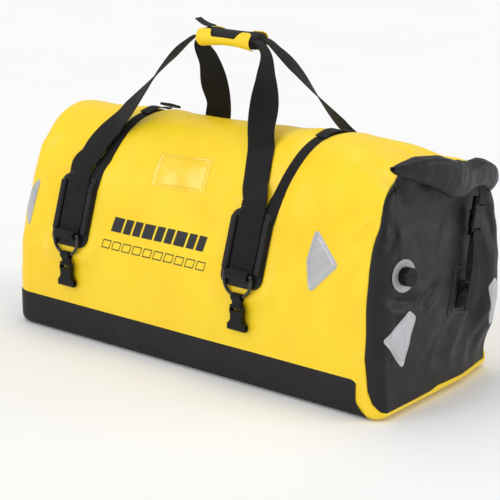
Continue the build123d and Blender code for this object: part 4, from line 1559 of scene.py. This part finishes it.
# Webbing of the closure: name, body, width, points made, and its route as (up, out) in mm.
CLOSURE_STRIPS = (
    ("closure_strap", "bag", 24.5, 70,
     ((-2.5, -2.2), (3, -1.8), (8, 0.2), (7.5, 3.2), (14, 2.6), (30, 1.4), (60, 0.4), (84, 0.2), (93, 1.5))),
    ("closure_tail", "bag", 24.5, 80,
     ((93, -1.8), (90, 3.6), (86, 5.2), (76, 6.6), (50, 10.2), (20, 12.0), (-8, 11.0), (-30, 8.6), (-40, 9.6))),
    ("closure_tab", "roll", 24.0, 44,
     ((137, 0.2), (133.4, 3.6), (137, 6.2), (145, 6.3), (154, 4.4), (163, 1.0), (170, -1.0))),
    ("closure_ring_loop", "bag", 25, 60,
     ((-38, -6.2), (-24, -5.6), (-9.0, -4.6), (-4.2, -3.6), (-2.2, 0.0), (-4.4, 2.9), (-8.6, 1.8),
      (-11.5, -2.6), (-16, -3.9))),
)


@dataclass
class Closure:
    """The strap that holds the roll down: patch, ring loop, strap, hanging tail and the tab above."""

    finishes: Finishes
    end_skin: Skin
    thickness: float = 0.0016
    pieces: list[bpy.types.Object] = field(default_factory=list)

    def strip(self, name: str, path: Sequence[tuple[float, float]], width: float,
              count: int) -> bpy.types.Object:
        """Webbing in the closing strap's own plane through (up, out) points in millimetres."""
        flat = flowing(path, count)
        way = tangents(flat)
        normal = np.stack([-way[:, 1], way[:, 0]], axis=1)
        centres = CLOSURE_ORIGIN + flat[:, :1] * MM * CLOSURE_UP + flat[:, 1:] * MM * OUT
        normals = normal[:, :1] * CLOSURE_UP + normal[:, 1:] * OUT
        return ribbon(name, centres, normals, width * MM / 2, self.thickness)

    def build(self) -> list[bpy.types.Object]:
        """Build the soft pieces of the closure."""
        for name, body, width, count, path in CLOSURE_STRIPS:
            piece = self.strip(name + "_webbing", path, width, count)
            self.pieces.append(finish(piece, self.finishes.webbing, "webbing", body, name))
        patch = Patch("closure_anchor_patch_tarpaulin", self.patch_corners(), Projection.ROLL_END, 7 * MM,
                      thickness=0.0012, weld=0.006)
        self.pieces.append(weld_patch(patch, self.end_skin, self.finishes.black, "black_tarpaulin",
                                      "closure_anchor_patch"))
        base = CLOSURE_ORIGIN - 0.0345 * CLOSURE_UP
        lines = []
        for a, b in (((-10, 0), (10, 0)), ((-10, 14), (10, 14)), ((-10, 0), (-10, 14)), ((10, 0), (10, 14)),
                     ((-10, 0), (10, 14)), ((-10, 14), (10, 0))):
            lines.append([base + (u * MM) * CLOSURE_ACROSS + (v * MM) * CLOSURE_UP - OUT * 0.0046
                          for u, v in (a, b)])
        thread = stitches("closure_loop_stitches", lines, OUT)
        finish(thread, self.finishes.thread, "webbing", "bag")
        self.pieces.append(thread)
        return self.pieces

    def patch_corners(self) -> list[tuple[float, float]]:
        """The anchor patch's four corners as (y, z)."""
        out = []
        for a, b in ((-33, -52), (33, -52), (33, 34), (-33, 34)):
            place = CLOSURE_ORIGIN + a * MM * CLOSURE_ACROSS + b * MM * CLOSURE_UP
            out.append((float(place[1]), float(place[2])))
        return out


@dataclass
class AnchorWebbing:
    """Webbing stitched down each anchor pad and rolled round the lashing ring, with the socket's loop."""

    finishes: Finishes
    corner: Corner
    thickness: float = 0.0022
    pieces: list[bpy.types.Object] = field(default_factory=list)

    def build(self) -> list[bpy.types.Object]:
        """Build the strip, its stitches and the hanging loop."""
        name, x, side = self.corner.name, self.corner.x, self.corner.side
        path = [(67.0, 5.5), (50.0, 5.45), (20.0, 5.4), (-10.0, 5.4), (-34.0, 5.4)]
        for step in range(40):
            turn = 2 * math.pi * 1.62 * step / 39
            radius = 7.9 - 2.25 * turn / (2 * math.pi)
            path.append((-44 - radius * math.sin(turn), 13.3 - radius * math.cos(turn)))
        flat = resample(np.array(path), 150)
        way = tangents(flat)
        normal = np.stack([way[:, 1], -way[:, 0]], axis=1)
        centres = np.array([pad_place(x, side, v * MM, w * MM) for v, w in flat])
        up = unit(pad_place(0, side, 1.0, 0) - pad_place(0, side, 0, 0))
        out = unit(pad_place(0, side, 0, 1.0) - pad_place(0, side, 0, 0))
        normals = normal[:, :1] * up + normal[:, 1:] * out
        halves = 0.025 - 0.0022 * smooth(-20.0, -36.0, flat[:, 0])
        strip = ribbon("anchor_strip_" + name, centres, normals, halves, self.thickness)
        finish(strip, self.finishes.webbing, "webbing", "bag", "anchor_webbing_" + name)
        lines = []
        for low, high in ((26, 62), (-30, -22)):
            wide = 20
            corners = [(-wide, low), (wide, low), (wide, high), (-wide, high)]
            rows = [(corners[k], corners[(k + 1) % 4]) for k in range(4)]
            if high - low > 20:
                rows += [(corners[0], corners[2]), (corners[1], corners[3])]
            for a, b in rows:
                lines.append((pad_place(x, side, a[1] * MM, 0.00672, a[0] * MM),
                              pad_place(x, side, b[1] * MM, 0.00672, b[0] * MM)))
        thread = stitches("anchor_stitches_" + name, lines, out)
        finish(thread, self.finishes.thread, "webbing", "bag")
        self.pieces += [strip, thread, self.hang_loop()]
        return self.pieces

    def hang_loop(self) -> bpy.types.Object:
        """The narrow loop from the ring's bow to the bar of the socket."""
        name, x, side = self.corner.name, self.corner.x, self.corner.side
        middle = pad_place(x, side, -0.044, 0.0133)
        bow_z = middle[2] - 0.038
        path = arc(5.9, range(-48, 229, 12)) + [(-1.7, -7.6), (-1.0, -10.5), (-1.5, -13.4)]
        path += arc(3.0, range(160, 381, 20), -17)
        path += [(1.5, -13.4), (1.0, -10.5), (1.7, -7.6), path[0]]
        flat = resample(np.array(path), 73)[:-1]
        way = tangents(flat, closed=True)
        normal = np.stack([-way[:, 1], way[:, 0]], axis=1)
        y = middle[1]
        centres = np.column_stack([np.full(72, x), y + flat[:, 0] * MM, bow_z + flat[:, 1] * MM])
        normals = np.column_stack([np.zeros(72), normal[:, 0], normal[:, 1]])
        piece = ribbon("hang_loop_webbing_" + name, centres, normals, 0.010, 0.0016, closed=True)
        return finish(piece, self.finishes.webbing, "webbing", "socket_" + name, "hang_loop_" + name)


@dataclass
class CompressionStrap:
    """A narrow strap over the top from pad to pad, with the tail of its adjuster lying on it."""

    finishes: Finishes
    tube_skin: Skin
    name: str
    run: tuple[float, float]
    thickness: float = 0.0016
    pieces: list[bpy.types.Object] = field(default_factory=list)

    def track(self, low: float, high: float, count: int, lift: float) -> tuple[np.ndarray, np.ndarray]:
        """Points and normals on the arch between two shares of the strap's length."""
        share = np.linspace(low, high, count)
        turn = STRAP_START + (math.pi - 2 * STRAP_START) * share
        x = self.run[0] + (self.run[1] - self.run[0]) * share
        y = -ARCH_HALF_WIDTH * np.cos(turn)
        z = ARCH_SPRING + ARCH_RISE * np.sin(turn)
        normals = unit(np.column_stack([np.zeros(count), y / ARCH_HALF_WIDTH ** 2,
                                        (z - ARCH_SPRING) / ARCH_RISE ** 2]))
        plain = np.column_stack([x, y, z])
        laid = self.tube_skin.lay(plain + normals * 0.06, -normals, 0.0)
        height = np.einsum("ij,ij->i", laid - plain, normals)
        for _ in range(6):
            height[1:-1] = (height[:-2] + 2 * height[1:-1] + height[2:]) / 4
        return plain + normals * (height + lift)[:, None], normals

    def build(self) -> list[bpy.types.Object]:
        """Build the strap and the loose tail."""
        centres, normals = self.track(-0.055, 1.055, 120, 0.0014)
        strap = ribbon("compression_strap_webbing_" + self.name, centres, normals, 0.0125, self.thickness)
        finish(strap, self.finishes.webbing, "webbing", "bag", "compression_strap_" + self.name)
        share = np.linspace(0, 1, 40)
        centres, normals = self.track(0.60, 0.40, 40, 0.0)
        lift = 0.0042 + 0.0035 * np.sin(share * math.pi) ** 2 + 0.0015 * share
        lift[:6] += np.linspace(0.0032, 0.0, 6)
        tail = ribbon("compression_tail_webbing_" + self.name, centres + normals * lift[:, None], normals,
                      0.0122, self.thickness)
        finish(tail, self.finishes.webbing, "webbing", "bag")
        self.pieces += [strap, tail]
        return self.pieces


HINGE_V = 0.067
GRIP_CENTRE = np.array([-0.020, 0.0, 0.541])

HANDLE_STATIONS = {
    Side.FRONT: (
        (-0.262, 0.131),
        ((-255, 322), (-250, 338), (-244, 351), (-238, 362), (-232, 371)),
        ((-207, 62, 404, -0.35, 0.75, 0.55, 25), (-175, 47, 446, -0.7, 0.6, 0.35, 24),
         (-140, 32, 492, -0.85, 0.3, 0.35, 19), (-108, 15, 529, -0.75, 0.05, 0.6, 12)),
        ((64, 15, 529, 0.8, 0.05, 0.6, 12), (80, 32, 490, 0.9, 0.35, 0.15, 19),
         (87, 46, 447, 0.55, 0.8, 0.15, 24), (92, 61, 405, 0.15, 0.9, 0.35, 25)),
        ((98, 373), (104, 363), (109, 352), (114, 339), (119, 323))),
    Side.REAR: (
        (-0.131, 0.262),
        ((-128, 322), (-124, 338), (-119, 351), (-114, 362), (-110, 371)),
        ((-101, 61, 405, -0.1, 0.9, 0.35, 25), (-98, 46, 447, -0.5, 0.8, 0.15, 24),
         (-99, 32, 490, -0.9, 0.35, 0.15, 19), (-104, 15, 529, -0.8, 0.05, 0.6, 12)),
        ((66, 15, 529, 0.75, 0.05, 0.6, 12), (96, 32, 494, 0.85, 0.3, 0.35, 19),
         (128, 47, 452, 0.7, 0.6, 0.35, 24), (164, 62, 410, 0.35, 0.75, 0.55, 25)),
        ((196, 373), (207, 363), (219, 352), (232, 339), (246, 323))),
}


@dataclass
class CarryHandle:
    """One carry handle of 50 mm webbing, and its half of the wrapped grip."""

    finishes: Finishes
    tube_skin: Skin
    side: Side
    thickness: float = 0.0022
    lift: float = 0.0046
    folded_half: float = 0.0105
    sleeve_half_length: float = 0.060
    pieces: list[bpy.types.Object] = field(default_factory=list)

    @property
    def word(self) -> str:
        """The side in words."""
        return self.side.name.lower()

    def pad_pair(self, x: float) -> list[tuple]:
        """Stations where the webbing leaves a pad."""
        side = self.side
        out = unit(pad_place(0, side, 0, 1.0) - pad_place(0, side, 0, 0))
        return [(pad_place(x, side, v, 0.00545), out, 0.025) for v in (HINGE_V + 0.0002, 0.072, 0.080)]

    def on_arch(self, x: float, z: float) -> tuple:
        """A station that lies on the tube."""
        s = (z * MM - ARCH_SPRING) / ARCH_RISE
        y = ARCH_HALF_WIDTH * math.sqrt(1 - s * s)
        normal = unit(np.array([0.0, y / ARCH_HALF_WIDTH ** 2, (z * MM - ARCH_SPRING) / ARCH_RISE ** 2]))
        flip = np.array([1.0, self.side.value, 1.0])
        plain, normal = np.array([x * MM, y, z * MM]) * flip, normal * flip
        laid = self.tube_skin.lay((plain + normal * 0.06)[None, :], -normal[None, :], 0.0)[0]
        height = max(float((laid - plain) @ normal) + 0.0034, self.lift)
        return plain + normal * height, normal, 0.025

    def in_air(self, row: Sequence[float]) -> tuple:
        """A station clear of the tube."""
        x, y, z, nx, ny, nz, half = row
        flip = np.array([1.0, self.side.value, 1.0])
        return np.array([x, y, z]) * MM * flip, unit(np.array([nx, ny, nz], float)) * flip, half * MM

    def build_webbing(self) -> None:
        """The webbing from the left pad over the tube, through the grip and down to the right pad."""
        pads, low_left, left, right, low_right = HANDLE_STATIONS[self.side]
        stations = self.pad_pair(pads[0])
        stations += [self.on_arch(*row) for row in low_left]
        stations += [self.in_air(row) for row in left]
        y = self.side.value * 0.0125
        for x, tilt in ((-0.088, -0.12), (-0.055, 0.0), (0.015, 0.0), (0.048, 0.12)):
            stations.append((np.array([x, y, GRIP_CENTRE[2] + 0.001]), unit(np.array([tilt, 0.0, 1.0])),
                             self.folded_half))
        stations += [self.in_air(row) for row in right]
        stations += [self.on_arch(*row) for row in low_right]
        stations += self.pad_pair(pads[1])[::-1]
        centres, normals, halves = spread(stations, 330)
        piece = ribbon("handle_webbing_" + self.word, centres, normals, halves, self.thickness)
        finish(piece, self.finishes.webbing, "webbing", self.word + "_handle", self.word + "_handle_webbing")
        self.pieces.append(piece)

    def sleeve_point(self, a: float, turn: float, lift: float) -> np.ndarray:
        """A point on the padded sleeve: a along it, turn from the bottom round its outer side to the top."""
        waist = 1 - (a / self.sleeve_half_length) ** 2
        tall = 0.0160 - 0.0042 * max(0.0, waist) + lift
        deep = 0.0245 - 0.0030 * max(0.0, waist) + lift
        rise = 0.0020 * math.cos(math.pi * a / 0.12)
        y = self.side.value * (0.0009 + deep * abs(math.sin(turn)) ** 0.9)
        z = GRIP_CENTRE[2] + rise - tall * math.cos(turn)
        return np.array([GRIP_CENTRE[0] + a, y, z])

    def build_sleeve(self) -> None:
        """The padded black sleeve half, closed all round."""
        rings, count = 41, 36
        points, faces = [], []
        waves = Ripples(81 if self.side is Side.FRONT else 82, 0.02, 0.06)
        for i in range(rings):
            t = -1 + 2 * i / (rings - 1)
            a = t * self.sleeve_half_length * (1.0 if self.side is Side.FRONT else 0.985)
            shrink = -0.0045 * abs(t) ** 14
            for j in range(count):
                turn = math.pi * j / (count - 1)
                lift = shrink + 0.0006 * float(waves(np.array(a), np.array(turn * 0.02))) * math.sin(turn)
                points.append(self.sleeve_point(a, turn, lift))
        faces = grid_faces(rings, count, wrap=True)
        faces.append(tuple(range(count)))
        faces.append(tuple(range((rings - 1) * count, rings * count))[::-1])
        piece = new_piece("grip_sleeve_" + self.word, np.array(points), faces)
        face_outwards(piece)
        only(piece)
        bpy.ops.object.shade_smooth_by_angle(angle=math.radians(50))
        finish(piece, self.finishes.hook, "hook_and_loop", self.word + "_handle")
        self.pieces.append(piece)

    def build_flap(self) -> None:
        """The yellow flap over the sleeve, cut like a bone: full at both ends and narrow in the middle."""
        long, around = 90, 40
        table = np.zeros((long, around, 3))
        for i in range(long):
            t = -1 + 2 * i / (long - 1)
            a = t * 0.0575
            lobe = float(smooth(0.42, 0.62, abs(t)))
            tip = math.sqrt(max(0.0, 1 - max(0.0, (abs(t) - 0.80) / 0.20) ** 2))
            high = math.radians(98 + 52 * lobe)
            low = math.radians(14)
            middle = 0.5 * (high + low)
            for j in range(around):
                share = -1 + 2 * j / (around - 1)
                turn = middle + 0.5 * (high - low) * share * (0.72 + 0.28 * tip)
                table[i, j] = self.sleeve_point(a, turn, 0.0012)
        piece = new_piece("grip_flap_" + self.word, table.reshape(-1, 3), grid_faces(long, around))
        face_towards(piece, (0, self.side.value, 0))
        thicken(piece, 0.0015, offset=1.0)
        only(piece)
        bpy.ops.object.shade_smooth_by_angle(angle=math.radians(50))
        finish(piece, self.finishes.yellow, "yellow_tarpaulin", self.word + "_handle", "grip_wrap_" + self.word,
               "grip_hook_strip" if self.side is Side.FRONT else "grip_loop_strip")
        self.pieces.append(piece)

    def build_tongue(self) -> None:
        """The end of the fastening tape that stands up at the left of the grip."""
        path = np.array([(-0.060, -0.004, 0.5590), (-0.072, -0.004, 0.5612), (-0.083, -0.004, 0.5652),
                         (-0.092, -0.004, 0.5700)])
        centres = flowing(path, 20)
        normals = np.tile([0.2, 0.0, 1.0], (20, 1))
        piece = ribbon("grip_tape_end", centres, unit(normals), np.linspace(0.011, 0.008, 20), 0.0018)
        finish(piece, self.finishes.hook, "hook_and_loop", "front_handle")
        self.pieces.append(piece)

    def build(self) -> list[bpy.types.Object]:
        """Build the handle."""
        self.build_webbing()
        self.build_sleeve()
        self.build_flap()
        if self.side is Side.FRONT:
            self.build_tongue()
        return self.pieces


@dataclass
class Hardware:
    """The moulded and metal pieces carried over from the frame, each with its own finish."""

    finishes: Finishes

    def dress(self) -> int:
        """Give every shown node the finish of its slot.

        Returns:
            How many nodes were dressed.
        """
        by_slot = {
            "moulded_pad": self.finishes.pad, "buckle_plastic": self.finishes.acetal,
            "coated_ring": self.finishes.steel, "grey_flange": self.finishes.flange,
            "seal_rubber": self.finishes.rubber, "stiffener_plastic": self.finishes.stiffener,
            "reflective_film": self.finishes.film, "yellow_tarpaulin": self.finishes.yellow,
            "black_tarpaulin": self.finishes.black, "base_tarpaulin": self.finishes.base,
            "clear_film": self.finishes.clear, "hook_and_loop": self.finishes.hook,
            "webbing": WovenWebbing("woven_webbing_of_the_frame", "#0B0A0A", "#1D1B1B", 25,
                                    on_cloth=False).material(),
        }
        count = 0
        for part in frame["record"]["subparts"]:
            node = bpy.data.objects[part["node"]]
            material = by_slot[part["material_slot"]]
            for slot in node.material_slots:
                slot.material = material
            if not node.material_slots:
                node.data.materials.append(material)
            count += 1
        return count


# Studio.
@dataclass
class Studio:
    """Pale floor, soft light and the camera."""

    camera_place: tuple[float, float, float] = (1.7719, -2.1672, 0.9813)
    camera_back: tuple[float, float, float] = (0.6039, -0.7468, 0.2784)
    lens_mm: float = 119.54

    def floor(self) -> None:
        """A large pale floor with the faintest mottle."""
        bpy.ops.object.select_all(action="DESELECT")
        bpy.ops.mesh.primitive_plane_add(size=60, location=(0, 0, -0.0004))
        plane = bpy.context.active_object
        plane.name = "studio_floor"
        material, tree, shader = start_material("pale_painted_floor", Roughness=0.85)
        place = add_node(tree, "ShaderNodeTexCoord").outputs["Object"]
        mottle = add_node(tree, "ShaderNodeTexNoise", links={"Vector": place}, values={"Scale": 1.5})
        tone = ramp(tree, mottle.outputs["Fac"], [(0.3, grey(0.90)), (0.7, grey(0.92))])
        tree.links.new(tone, shader.inputs["Base Color"])
        set_finish(plane, material)

    def light(self, name: str, place: tuple[float, float, float], softness: float, strength: float) -> None:
        """Add one broad soft light that falls evenly on bag and floor.

        Args:
            name: Its name.
            place: The direction it comes from, as a point.
            softness: Angle in degrees that it seems to fill.
            strength: Its strength.
        """
        lamp = bpy.data.lights.new(name, "SUN")
        lamp.angle = math.radians(softness)
        lamp.energy = strength
        holder = bpy.data.objects.new(name, lamp)
        holder.location = place
        holder.rotation_euler = Vector(place).to_track_quat("Z", "Y").to_euler()
        bpy.context.scene.collection.objects.link(holder)

    def build(self) -> None:
        """Set up floor, world, lights and camera."""
        self.floor()
        world = bpy.data.worlds.new("soft_white_room")
        world.use_nodes = True
        background = world.node_tree.nodes["Background"]
        background.inputs["Color"].default_value = (1.0, 1.0, 1.0, 1.0)
        background.inputs["Strength"].default_value = 0.54
        bpy.context.scene.world = world
        self.light("overhead_light", (-0.3, 0.2, 2.6), 50, 0.95)
        self.light("front_light", (-0.9, -2.6, 1.7), 45, 0.92)
        self.light("end_light", (2.2, 1.4, 0.6), 40, 1.00)
        camera = bpy.data.cameras.new("studio_camera")
        camera.lens = self.lens_mm
        camera.sensor_width = 36.0
        camera.clip_end = 200.0
        holder = bpy.data.objects.new("studio_camera", camera)
        holder.location = self.camera_place
        holder.rotation_euler = Vector(self.camera_back).to_track_quat("Z", "Y").to_euler()
        bpy.context.scene.collection.objects.link(holder)
        bpy.context.scene.camera = holder
        bpy.context.scene.view_settings.view_transform = "Standard"


def main() -> None:
    """Build the sub-assemblies in order and report each piece."""
    logging.basicConfig(level=logging.INFO, format="%(name)s %(message)s")
    for other in list(bpy.context.selected_objects):
        other.select_set(False)
    finishes = Finishes()
    log.info("dressed %d nodes", Hardware(finishes).dress())
    body = BagBody(finishes)
    built = body.build()
    built += RolledMouth(finishes, body.end).build()
    built += Closure(finishes, body.end_skin).build()
    for corner in CORNERS:
        built += AnchorWebbing(finishes, corner).build()
    for name, run in zip(("left", "right"), STRAP_RUNS):
        built += CompressionStrap(finishes, body.tube_skin, name, run).build()
    for side in Side:
        built += CarryHandle(finishes, body.tube_skin, side).build()
    for piece in built:
        log.info("%s: %d faces", piece.name, len(piece.data.polygons))
    Studio().build()


if __name__ == "__main__":
    main()
